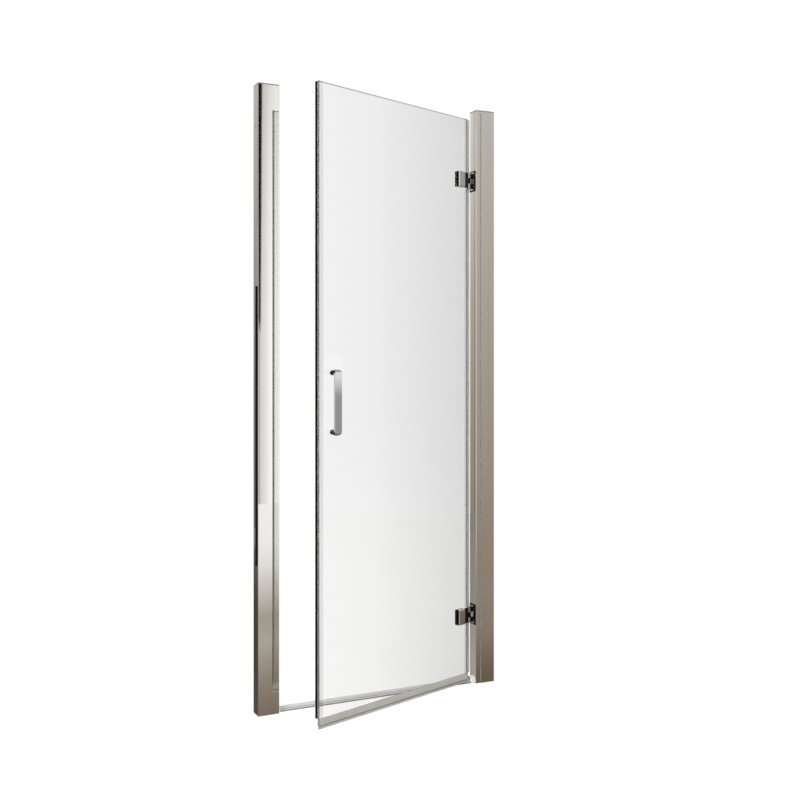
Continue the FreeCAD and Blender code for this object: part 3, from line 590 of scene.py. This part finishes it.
def turned(shape, outline, steps, seat):
    """Spin an outline of (radius, height) points about the seat's own Z axis."""
    corners = [shape.verts.new(seat @ Vector((radius, 0.0, height))) for radius, height in outline]
    edges = [shape.edges.new(pair) for pair in zip(corners, corners[1:])]
    axis = seat.to_3x3() @ Vector((0.0, 0.0, 1.0))
    bmesh.ops.spin(
        shape, geom=corners + edges, cent=seat.translation, axis=axis, angle=math.tau, steps=steps,
        use_merge=True)


def seat_at(spot, direction):
    """Frame whose Z axis points along a direction, at a spot."""
    return Matrix.Translation(spot) @ Vector(direction).to_track_quat("Z", "Y").to_matrix().to_4x4()


def socket_head(shape, seat, outline, socket, depth):
    """Turned head whose open top is closed around a socket with flat sides."""
    before = set(shape.edges)
    turned(shape, outline, HEAD_STEPS, seat)
    bmesh.ops.remove_doubles(shape, verts=shape.verts, dist=MERGE)
    top = seat @ Vector((0.0, 0.0, outline[-1][1]))
    axis = seat.to_3x3() @ Vector((0.0, 0.0, 1.0))
    rim = [
        edge for edge in shape.edges
        if edge not in before and edge.is_boundary
        and all(abs((vertex.co - top).dot(axis)) < MERGE for vertex in edge.verts)
    ]
    ring = bmesh.ops.create_circle(
        shape, cap_ends=False, segments=SOCKET_SIDES, radius=socket,
        matrix=seat @ Matrix.Translation((0.0, 0.0, outline[-1][1])))
    edges = list({edge for vertex in ring["verts"] for edge in vertex.link_edges})
    bmesh.ops.bridge_loops(shape, edges=rim + edges)
    sunk = bmesh.ops.extrude_edge_only(shape, edges=edges)["geom"]
    deep = [item for item in sunk if isinstance(item, bmesh.types.BMVert)]
    bmesh.ops.translate(shape, vec=axis * -depth, verts=deep)
    floor_edges = [item for item in sunk if isinstance(item, bmesh.types.BMEdge)
                   and all(vertex in deep for vertex in item.verts)]
    bmesh.ops.contextual_create(shape, geom=floor_edges)


def leaf_piece(shape, name, node_name, finishes=()):
    """A piece drawn on the closed leaf, turned ajar with it."""
    bmesh.ops.recalc_face_normals(shape, faces=shape.faces)
    bmesh.ops.transform(shape, matrix=LEAF, verts=shape.verts)
    return finished_piece(shape, name, node_name, finishes)


# Operators

class SHOWER_OT_finishes(bpy.types.Operator):
    """Make the materials and give each node its own"""
    bl_idname = "shower_door.finishes"
    bl_label = "Finishes"

    def execute(self, context):
        make_finishes()
        for row in frame["record"]["subparts"]:
            dress(frame["nodes"][row["node"]], row["material_slot"])
        frame["nodes"]["glass_panel"].visible_shadow = False
        return {"FINISHED"}


class SHOWER_OT_profiles(bpy.types.Operator):
    """Round the edges of the wall profiles and the threshold"""
    bl_idname = "shower_door.profiles"
    bl_label = "Profiles"

    def execute(self, context):
        width = settings().profile_edge
        for name in ("strike_post", "strike_wall_channel", "hinge_wall_profile", "hinge_jamb"):
            softened_piece(name, width)
        low, high = frame_box("threshold_bar")
        shade_top = low.z + (high.z - low.z) * SHADED_SHARE
        softened_piece(
            "threshold_bar", width, ("threshold_metal", "threshold_shade"),
            lambda centre, normal: centre.z < shade_top and normal.y < LOOKS_OUT,
            [(Vector((0.0, 0.0, shade_top)), Vector((0.0, 0.0, 1.0)))])
        return {"FINISHED"}


class SHOWER_OT_caps(bpy.types.Operator):
    """Round the edges of the caps, feet and end blocks"""
    bl_idname = "shower_door.caps"
    bl_label = "Caps and blocks"

    def execute(self, context):
        width = settings().cap_edge
        for place_name in ("strike_post", "hinge_wall_profile", "hinge_jamb"):
            softened_piece(f"{place_name}_cap", width)
            softened_piece(f"{place_name}_foot", width)
        for side in ("strike", "hinge"):
            softened_piece(f"threshold_end_{side}", width)
        return {"FINISHED"}


class SHOWER_OT_hinges(bpy.types.Operator):
    """Round the hinge plates and clamps, with painted shade on the knuckles, arms and rims"""
    bl_idname = "shower_door.hinges"
    bl_label = "Hinges"

    def execute(self, context):
        width = settings().hinge_edge
        tones = ("hinge_chrome", "hinge_shade")
        turn_back = CLOSED.to_3x3()
        for level in ("upper", "lower"):
            self.plate(f"{level}_hinge_plate", width, tones, level == "upper")
            block_end = leaf_box(f"{level}_hinge_back_clamp")[1].x
            # Painted shade on the arm and knuckle beyond the block, but for the highlight lines, and on the
            # clamp's free end
            softened_piece(f"{level}_hinge_front_clamp", width, tones, lambda centre, normal: (
                (CLOSED @ centre).x > block_end - ARM_START and not glints(centre, normal)
                or (turn_back @ normal).x < -CLAMP_END))
            softened_piece(f"{level}_hinge_back_clamp", width)
        return {"FINISHED"}

    def plate(self, name, width, tones, dark_middle):
        """Plate with painted shade on its rim, a bright frame in plain chrome, and a middle in painted shade when
        dark_middle is set; its knuckles take painted shade but for their highlight lines.
        """
        low, high = frame_box(name)
        middle = (low + high) / 2
        half = (high - low) / 2
        seams = []
        for axis in (1, 2):
            across = Vector((0.0, 0.0, 0.0))
            across[axis] = 1.0
            for inset in (PLATE_RIM[axis], PLATE_FRAME[axis]):
                for side in (-1, 1):
                    seams.append((middle + across * side * (half[axis] - inset), across))

        # Faces that take the painted shade
        def dark(centre, normal):
            inwards = {axis: half[axis] - abs(centre[axis] - middle[axis]) for axis in (1, 2)}
            rim = any(inwards[axis] < PLATE_RIM[axis] for axis in inwards)
            inner = all(inwards[axis] > PLATE_FRAME[axis] for axis in inwards)
            bright = normal.x < -PLATE_FRONT and not rim and not (inner and dark_middle)
            return not bright and not glints(centre, normal)

        softened_piece(name, width, tones, dark, seams)


class SHOWER_OT_screws(bpy.types.Operator):
    """Turn the screws, bolts, washers and covers, with their sockets and domes"""
    bl_idname = "shower_door.screws"
    bl_label = "Screws and covers"

    def execute(self, context):
        self.clamp_screws()
        self.handle_bolts()
        self.handle_washers()
        self.plate_screws()
        self.covers()
        return {"FINISHED"}

    def clamp_screws(self):
        """Countersunk socket screws that enter the clamps from inside."""
        shape = bmesh.new()
        for corners in solids("clamp_screws"):
            low, high = extent(corners)
            middle = (low + high) / 2
            head = (high.x - low.x) / 2
            length = high.y - low.y
            shank = end_radius(corners, middle, 1, low.y)
            seat = seat_at((middle.x, high.y, middle.z), (0, 1, 0))
            outline = [(0.0, -length), (shank, -length), (shank, -(head - shank) - HEAD_LAND),
                       (head, -HEAD_LAND), (head * 0.94, 0.0)]
            socket_head(shape, seat, outline, head * 0.52, head * 0.5)
        leaf_piece(shape, "clamp_screws_finished", "clamp_screws")

    def handle_bolts(self):
        """Domed bolt heads behind the glass, each with a socket."""
        shape = bmesh.new()
        for corners in solids("handle_bolts"):
            low, high = extent(corners)
            middle = (low + high) / 2
            head = (high.x - low.x) / 2
            shank = end_radius(corners, middle, 1, low.y)
            seat_y = min(corner.y for corner in corners if radius_of(corner, middle, 1) > head * 0.98)
            tall = high.y - seat_y
            seat = seat_at((middle.x, seat_y, middle.z), (0, 1, 0))
            outline = [(0.0, low.y - seat_y), (shank, low.y - seat_y), (shank, 0.0), (head, 0.0),
                       (head, tall * 0.45), (head * 0.93, tall * 0.72), (head * 0.76, tall * 0.92),
                       (head * 0.55, tall)]
            socket_head(shape, seat, outline, head * 0.4, tall * 0.5)
        leaf_piece(shape, "handle_bolts_finished", "handle_bolts")

    def handle_washers(self):
        """Soft washers with rounded rims, on both faces of the glass."""
        for name in ("handle_front_washers", "handle_back_washers"):
            shape = bmesh.new()
            for corners in solids(name):
                low, high = extent(corners)
                middle = (low + high) / 2
                outer = (high.x - low.x) / 2
                inner = min(radius_of(corner, middle, 1) for corner in corners)
                tall = high.y - low.y
                seat = seat_at((middle.x, low.y, middle.z), (0, 1, 0))
                rim = tall * 0.3
                turned(shape, [(inner, 0.0), (outer - rim, 0.0), (outer, rim), (outer, tall - rim),
                               (outer - rim, tall), (inner, tall), (inner, 0.0)], RING_STEPS, seat)
            bmesh.ops.remove_doubles(shape, verts=shape.verts, dist=MERGE)
            leaf_piece(shape, f"{name}_finished", name)

    def plate_screws(self):
        """Countersunk screws that hold the hinge plates to the jamb."""
        shape = bmesh.new()
        for corners in solids("hinge_plate_screws"):
            low, high = extent(corners)
            middle = (low + high) / 2
            head = (high.y - low.y) / 2
            shank = end_radius(corners, middle, 0, high.x)
            length = high.x - low.x
            seat = seat_at((low.x, middle.y, middle.z), (-1, 0, 0))
            outline = [(0.0, -length), (shank * 0.4, -length), (shank, -length + shank * 1.2),
                       (shank, -(head - shank) - HEAD_LAND), (head, -HEAD_LAND), (head * 0.94, 0.0)]
            socket_head(shape, seat, outline, head * 0.5, head * 0.5)
        bmesh.ops.recalc_face_normals(shape, faces=shape.faces)
        finished_piece(shape, "hinge_plate_screws_finished", "hinge_plate_screws")

    def covers(self):
        """Domed covers over the profile screws, inside the shower."""
        shape = bmesh.new()
        for corners in solids("screw_covers"):
            low, high = extent(corners)
            middle = (low + high) / 2
            radius = (high.x - low.x) / 2
            bore = radius - COVER_WALL
            tall = high.y - low.y
            seat = seat_at((middle.x, low.y, middle.z), (0, 1, 0))
            turned(shape, [(bore, 0.0), (radius, 0.0), (radius, tall * 0.45),
                           (radius * 0.95, tall * 0.68), (radius * 0.8, tall * 0.87),
                           (radius * 0.5, tall * 0.97), (0.0, tall)], RING_STEPS, seat)
            turned(shape, [(bore, 0.0), (bore, tall * 0.55), (0.0, tall * 0.7)], RING_STEPS, seat)
        bmesh.ops.remove_doubles(shape, verts=shape.verts, dist=MERGE)
        bmesh.ops.recalc_face_normals(shape, faces=shape.faces)
        finished_piece(shape, "screw_covers_finished", "screw_covers")


class SHOWER_OT_handle(bpy.types.Operator):
    """Round the edges of the handle, with painted shade behind its strap"""
    bl_idname = "shower_door.handle"
    bl_label = "Handle"

    def execute(self, context):
        strap_back = leaf_box("handle")[0].y + STRAP_THICKNESS
        softened_piece(
            "handle", settings().handle_edge, ("handle_chrome", "hinge_shade"),
            lambda centre, normal: (CLOSED @ centre).y > strap_back + STRAP_SHADE)
        return {"FINISHED"}


class SHOWER_OT_seals(bpy.types.Operator):
    """Round the lips of the seals, and make the magnetic strips and the jamb's wipers"""
    bl_idname = "shower_door.seals"
    bl_label = "Seals"

    def execute(self, context):
        width = settings().seal_edge
        glass_low, glass_high = leaf_box("glass_panel")
        faces = ((1, 0), (1, 1))
        softened_piece("strike_magnet_carrier", width)
        softened_piece("free_edge_seal", width, grip=((0, 0), *faces))
        self.strip("door_magnet", LEAF, -1)
        self.strip("strike_magnet", Matrix(), 1)
        # The bottom seal takes a line of painted shade just under the glass
        line_top = glass_low.z + SEAL_LINE_TOP
        softened_piece(
            "bottom_seal", width, ("bottom_haze", "seal_shade_line"),
            lambda centre, normal: FIN_ROOT < centre.z - glass_low.z < SEAL_LINE_TOP,
            [(Vector((0.0, 0.0, line_top)), Vector((0.0, 0.0, 1.0)))], ((2, 0), *faces))
        haze_start = glass_high.x - HAZE_WIDTH
        seam = (LEAF @ Vector((haze_start, 0.0, 0.0)), -LEAF_END)
        for place_name in ("top", "middle", "bottom"):
            softened_piece(
                f"hinge_edge_seal_{place_name}", width, ("hazy_seal", "clear_seal"),
                lambda centre, normal: (CLOSED @ centre).x < haze_start, [seam], ((0, 1), *faces))
        self.wipers()
        return {"FINISHED"}

    def strip(self, name, turn, way):
        """Strip a hair smaller than its pocket: black magnet at its front, pale backing behind."""
        shape = merged_copy(name)
        bmesh.ops.transform(shape, matrix=turn.inverted(), verts=shape.verts)
        low, high = extent([vertex.co for vertex in shape.verts])
        middle = (low + high) / 2
        smaller = Vector((length - 2 * HAIR) / length for length in high - low)
        bmesh.ops.scale(shape, vec=smaller, space=Matrix.Translation(-middle), verts=shape.verts)
        seam = middle.x + way * ((high.x - low.x) / 2 - MAGNET_FRONT)
        cut_through(shape, (seam, 0.0, 0.0), (1.0, 0.0, 0.0))
        for face in shape.faces:
            if way * (face.calc_center_median().x - seam) < 0.0:
                face.material_index = 1
        bmesh.ops.transform(shape, matrix=turn, verts=shape.verts)
        finished_piece(shape, f"{name}_finished", name, ("magnet_strip", "foot_plastic"))

    def wipers(self):
        """Dark wiper strips where the jamb slides into its wall profile, which also stand in for the shade in the
        gap there.
        """
        low, high = frame_box("hinge_wall_profile")
        jamb_low, jamb_high = frame_box("hinge_jamb")
        shape = bmesh.new()
        for outer, inner in ((low.y, jamb_low.y), (high.y, jamb_high.y)):
            gap = outer - inner
            size = Vector((WIPER_THICKNESS, abs(gap) * WIPER_SHARE, high.z - low.z - WIPER_SHORTER))
            middle = Vector((low.x - size.x / 2, inner + gap * WIPER_SHARE / 2, (low.z + high.z) / 2))
            cube = bmesh.ops.create_cube(shape, size=1.0)["verts"]
            bmesh.ops.scale(shape, vec=size, verts=cube)
            bmesh.ops.translate(shape, vec=middle, verts=cube)
        soften(shape, WIPER_EDGE, 2)
        linked_piece(shape, "jamb_wipers_and_gap_shade", "frame", "gasket_rubber", ("wiper_rubber_and_gap_shade",))


# Stage

def reflected_only(obj):
    """A reflector that lights nothing and shows only in shiny surfaces, also through the glass."""
    obj.visible_camera = False
    obj.visible_diffuse = False
    obj.visible_shadow = False
    obj.visible_volume_scatter = False


def stage_quad(name, corners, made):
    """Flat reflector or floor between its corners."""
    shape = bmesh.new()
    shape.faces.new([shape.verts.new(corner) for corner in corners])
    mesh = bpy.data.meshes.new(name)
    shape.to_mesh(mesh)
    shape.free()
    mesh.materials.append(made)
    quad = bpy.data.objects.new(name, mesh)
    bpy.context.scene.collection.objects.link(quad)
    return quad


def on_floor(*spots):
    """Corners of a card on the floor, at given places."""
    return tuple((x, y, CARD_LEVEL) for x, y in spots)


def lying(low_x, high_x, low_y, high_y, level=CARD_LEVEL, slant=0.0):
    """Corners of a card on the floor, its near left corner moved aside by the slant."""
    return ((low_x + slant, low_y, level), (high_x, low_y, level),
            (high_x, high_y, level), (low_x, high_y, level))


def facing(low_x, high_x, y, low_z, high_z, slant=0.0):
    """Corners of an upright card across the room, its top edge moved aside by the slant."""
    return ((low_x, y, low_z), (high_x, y, low_z),
            (high_x + slant, y, high_z), (low_x + slant, y, high_z))


def beside(x, low_y, high_y, low_z, high_z):
    """Corners of an upright card along the side of the room."""
    return ((x, low_y, low_z), (x, high_y, low_z), (x, high_y, high_z), (x, low_y, high_z))


def axis_ramp(tree, axis, stops):
    """Colours along one axis, or outwards from the door's foot, at places in metres."""
    first = stops[0][0]
    last = stops[-1][0]
    source = node(tree, "ShaderNodeTexCoord")
    if axis == "outwards":
        reach = node(tree, "ShaderNodeVectorMath", operation="LENGTH")
        tree.links.new(source.outputs["Object"], reach.inputs[0])
        value = reach.outputs["Value"]
    else:
        split = node(tree, "ShaderNodeSeparateXYZ")
        tree.links.new(source.outputs["Object"], split.inputs["Vector"])
        value = split.outputs[axis]
    places = [((spot - first) / (last - first), color) for spot, color in stops]
    return ramp(tree, share_of(tree, value, first, last), places)


def graded_light(name, **axes):
    """Light that shows in reflections alone, its colour graded along one axis, or two multiplied."""
    made, tree, shader = material(name)
    tree.nodes.remove(shader)
    color = None
    for axis, stops in axes.items():
        band = axis_ramp(tree, axis, stops)
        if color is None:
            color = band
            continue
        both = node(tree, "ShaderNodeVectorMath", operation="MULTIPLY")
        tree.links.new(color, both.inputs[0])
        tree.links.new(band, both.inputs[1])
        color = both.outputs["Vector"]
    light = node(tree, "ShaderNodeEmission")
    tree.links.new(color, light.inputs["Color"])
    path = node(tree, "ShaderNodeLightPath")
    reflected = worked(tree, "GREATER_THAN", path.outputs["Glossy Depth"], 0.5)
    unseen = node(tree, "ShaderNodeBsdfTransparent")
    surface = blended(tree, reflected, unseen.outputs["BSDF"], light.outputs["Emission"])
    tree.links.new(surface, tree.nodes["Material Output"].inputs["Surface"])
    return made


def seen_directly(tree):
    """1 for rays that show the background: from the camera, off metal and through glass."""
    path = node(tree, "ShaderNodeLightPath")
    total = path.outputs["Is Camera Ray"]
    for kind in ("Is Glossy Ray", "Is Transmission Ray"):
        most = node(tree, "ShaderNodeMath", operation="MAXIMUM")
        tree.links.new(total, most.inputs[0])
        tree.links.new(path.outputs[kind], most.inputs[1])
        total = most.outputs["Value"]
    return total


def white_room():
    """World that lights softly and shows as white."""
    world = bpy.data.worlds.new("white_room")
    bpy.context.scene.world = world
    world.use_nodes = True
    tree = world.node_tree
    light = tree.nodes["Background"]
    white = node(tree, "ShaderNodeBackground")
    for shader, strength in ((light, 0.55), (white, 1.0)):
        set_sockets(shader, {"Color": (1.0, 1.0, 1.0, 1.0), "Strength": strength})
    surface = blended(
        tree, seen_directly(tree), light.outputs["Background"], white.outputs["Background"])
    tree.links.new(surface, tree.nodes["World Output"].inputs["Surface"])


def white_floor():
    """Pale floor that shows as white and still takes a soft shadow."""
    made, tree, shader = material("white_floor")
    set_sockets(shader, {"Roughness": 0.9})
    mottle(tree, shader, (0.86, 0.86, 0.86), spread=0.01, scale=2.0)
    glow = node(tree, "ShaderNodeEmission")
    glow.inputs["Strength"].default_value = 1.06
    half = node(tree, "ShaderNodeMixShader")
    half.inputs["Fac"].default_value = 0.90
    tree.links.new(shader.outputs["BSDF"], half.inputs[1])
    tree.links.new(glow.outputs["Emission"], half.inputs[2])
    surface = blended(tree, seen_directly(tree), shader.outputs["BSDF"], half.outputs["Shader"])
    tree.links.new(surface, tree.nodes["Material Output"].inputs["Surface"])
    return made


def grey(level, warm=0.0):
    """A grey, made warmer by taking blue and a little green away."""
    return (level, level * (1.0 - warm * 0.5), level * (1.0 - warm))


def soft_lamp(name, spot, target, size, power):
    """Area lamp that lights surfaces without showing in the metal."""
    lamp = bpy.data.lights.new(name, "AREA")
    lamp.shape = "SQUARE"
    lamp.size = size
    lamp.energy = power
    obj = bpy.data.objects.new(name, lamp)
    obj.location = spot
    obj.rotation_euler = (Vector(target) - Vector(spot)).to_track_quat("-Z", "Y").to_euler()
    obj.visible_glossy = False
    obj.visible_camera = False
    bpy.context.scene.collection.objects.link(obj)


class SHOWER_OT_stage(bpy.types.Operator):
    """Set up the floor, the reflectors, the lamps and the camera"""
    bl_idname = "shower_door.stage"
    bl_label = "Stage"

    def execute(self, context):
        context.scene.view_settings.view_transform = "Standard"
        white_room()
        stage_quad("floor", lying(-15, 15, -15, 15, 0.0), white_floor())
        for name, corners, axes in self.cards():
            reflected_only(stage_quad(name, corners, graded_light(f"{name}_light", **axes)))
        soft_lamp("top_lamp", (0.0, -1.2, 5.0), (0, 0, 0), 3.0, 180.0)
        soft_lamp("key_lamp", (-3.4, -3.0, 3.4), (0, 0, 0.9), 2.4, 110.0)
        soft_lamp("rear_lamp", (-1.5, 4.2, 3.6), (0, 0, 0.9), 2.4, 60.0)
        self.add_camera(context)
        return {"FINISHED"}

    def cards(self):
        """Name, corners and light of each reflector that the metal shows."""
        return (
            ("surround_card", lying(-15, 15, -15, 15, 0.001), {"outwards": [
                (0.4, grey(0.26, 0.25)), (1.2, grey(0.40, 0.18)), (2.6, grey(0.66, 0.08)),
                (5.0, grey(0.90, 0.03)), (9.0, grey(1.0))]}),
            ("strike_floor_card", on_floor(
                (-1.5, -1.55), (0.79, -1.55), (0.28, -0.0227), (-1.5, -0.0227)), {"Y": [
                    (-1.55, grey(0.56, 0.15)), (-1.2, grey(0.40, 0.22)), (-0.8, grey(0.44, 0.2)),
                    (-0.3, grey(0.27, 0.34)), (-0.02, grey(0.20, 0.4))]}),
            ("strike_far_floor_card", on_floor(
                (-1.5, -4.7), (1.78, -4.7), (0.79, -1.55), (-1.5, -1.55)), {"Y": [
                    (-4.7, grey(0.96, 0.02)), (-3.0, grey(0.93, 0.03)), (-2.3, grey(0.82, 0.05)),
                    (-1.55, grey(0.56, 0.15))]}),
            ("hinge_floor_card", lying(0.28, 4.5, -1.55, -0.0227, slant=0.51), {"Y": [
                (-1.2, grey(0.28, 0.3)), (-0.6, grey(0.25, 0.34)), (-0.1, grey(0.15, 0.45))]}),
            ("far_floor_card", lying(0.8, 4.5, -4.7, -1.55, slant=1.0), {"Y": [
                (-4.7, grey(0.33, 0.3)), (-1.55, grey(0.285, 0.36))]}),
            ("strike_wall_card", facing(-3.0, 2.3, -4.7, 0.0, 6.0), {
                "X": [(-0.6, grey(0.97)), (0.6, grey(0.92, 0.02)), (1.12, grey(0.42, 0.06)),
                      (1.160, grey(0.30, 0.06)), (1.169, grey(0.40, 0.06)), (1.182, grey(0.75, 0.06)),
                      (1.21, grey(0.81, 0.05)), (1.257, grey(1.0, 0.02)), (1.33, grey(1.14, 0.01))],
                "Z": [(0.0, grey(1.0)), (1.5, grey(1.0)), (2.5, grey(0.9)), (3.3, grey(0.78, 0.04))]}),
            ("hinge_wall_card", facing(2.3, 6.0, -4.7, 0.0, 6.0), {"Z": [
                (0.0, grey(0.33, 0.3)), (1.0, grey(0.395, 0.24)), (2.0, grey(0.46, 0.2)),
                (3.2, grey(0.54, 0.12))]}),
            ("corner_flag", facing(1.09, 1.149, -4.6, 1.3, 3.4, 0.0133), {"Z": [
                (1.3, grey(0.40)), (1.4, grey(0.03)), (1.8, grey(0.01)), (2.4, grey(0.002))]}),
            ("side_flag", facing(-0.5756, -0.5642, 0.5, 0.34, 1.30), {"Z": [
                (0.34, grey(0.012)), (1.30, grey(0.005))]}),
            ("side_corner_flag", facing(-0.5756, -0.5728, 0.5, 1.5, 2.2), {"Z": [
                (1.5, grey(0.02)), (2.2, grey(0.01))]}),
            ("left_flag", beside(-3.0, -0.6, 3.5, 0.0, 6.0), {"Z": [
                (0.0, grey(0.012)), (6.0, grey(0.02))]}),
            ("handle_side_card", beside(-2.95, 1.0, 1.6, 0.5, 1.15), {"Z": [
                (0.5, grey(0.62)), (1.15, grey(0.78))]}),
            ("right_wall_card", beside(3.7, -4.7, 2.0, 0.0, 6.0), {"Z": [
                (0.0, grey(0.40, 0.05)), (2.0, grey(0.42)), (5.0, grey(0.42))]}),
            ("handle_card", beside(3.6, -2.36, -2.22, 0.45, 1.12), {"Z": [
                (0.45, grey(0.33, 0.05)), (0.84, grey(0.36, 0.04)), (0.97, grey(0.86)),
                (1.1, grey(0.86))]}),
            ("jamb_wall_card", facing(-3.0, -1.60, 3.5, 0.0, 6.0), {
                "X": [(-1.724, grey(1.0)), (-1.716, grey(0.70)), (-1.709, grey(0.84)),
                      (-1.700, grey(1.0)), (-1.692, grey(1.0)), (-1.685, grey(0.84)),
                      (-1.677, grey(1.5)), (-1.66, grey(1.5))],
                "Z": [(0.0, grey(0.295, 0.32)), (0.8, grey(0.36, 0.27)), (1.5, grey(0.445, 0.23)),
                      (2.2, grey(0.58, 0.13)), (2.9, grey(0.68, 0.07))]}),
            ("rear_wall_card", facing(-1.60, 0.2, 3.5, 0.0, 6.0), {"Z": [
                (0.0, grey(0.165, 0.12)), (0.8, grey(0.21, 0.09)), (1.6, grey(0.32, 0.07)),
                (2.9, grey(0.53, 0.06))]}),
            ("rear_left_floor_card", on_floor(
                (-3.0, -0.03), (-0.402, -0.03), (-0.402, 0.25), (-1.355, 2.9), (-3.0, 2.9)), {"Y": [
                    (0.0, grey(0.09, 0.25)), (0.5, grey(0.065, 0.25)), (1.4, grey(0.065, 0.2)),
                    (2.9, grey(0.13, 0.12))]}),
            ("rear_floor_card", on_floor(
                (-0.402, 0.03), (0.333, 0.03), (0.333, 2.9), (-1.355, 2.9), (-0.402, 0.25)), {"Y": [
                    (0.1, grey(0.38, 0.12)), (1.0, grey(0.29, 0.14)), (2.9, grey(0.26, 0.12))]}),
            ("rear_end_floor_card", lying(-3.0, 0.333, 2.9, 3.5), {"Y": [
                (2.9, grey(0.25, 0.12)), (3.5, grey(0.26, 0.12))]}),
        )

    def add_camera(self, context):
        """Level camera at the viewing angle."""
        values = settings()
        lens = bpy.data.cameras.new("camera")
        lens.lens = values.camera_lens
        lens.sensor_width = 36.0
        lens.shift_y = values.camera_shift
        camera = bpy.data.objects.new("camera", lens)
        camera.location = values.camera_place
        camera.rotation_euler = (math.pi / 2, 0.0, -values.camera_heading)
        context.scene.collection.objects.link(camera)
        context.scene.camera = camera


class SHOWER_PT_door(bpy.types.Panel):
    """Sizes, colours and steps of the shower door"""
    bl_idname = "SHOWER_PT_door"
    bl_label = "Shower Door"
    bl_space_type = "VIEW_3D"
    bl_region_type = "UI"
    bl_category = "Shower Door"

    def draw(self, context):
        column = self.layout.column()
        for name in DoorSettings.__annotations__:
            column.prop(context.scene.shower_door, name)
        for step in STEPS:
            column.operator(step.bl_idname)


STEPS = (
    SHOWER_OT_stage, SHOWER_OT_finishes, SHOWER_OT_profiles, SHOWER_OT_caps, SHOWER_OT_hinges,
    SHOWER_OT_screws, SHOWER_OT_handle, SHOWER_OT_seals,
)
CLASSES = (DoorSettings, *STEPS, SHOWER_PT_door)


def register():
    """Add the door's settings, operators and panel."""
    for made in CLASSES:
        bpy.utils.register_class(made)
    bpy.types.Scene.shower_door = PointerProperty(type=DoorSettings)


def unregister():
    """Take them away again."""
    del bpy.types.Scene.shower_door
    for made in reversed(CLASSES):
        bpy.utils.unregister_class(made)


def main():
    """Build every piece in order."""
    register()
    for step in STEPS:
        family, name = step.bl_idname.split(".")
        getattr(getattr(bpy.ops, family), name)()


if __name__ == "__main__":
    main()
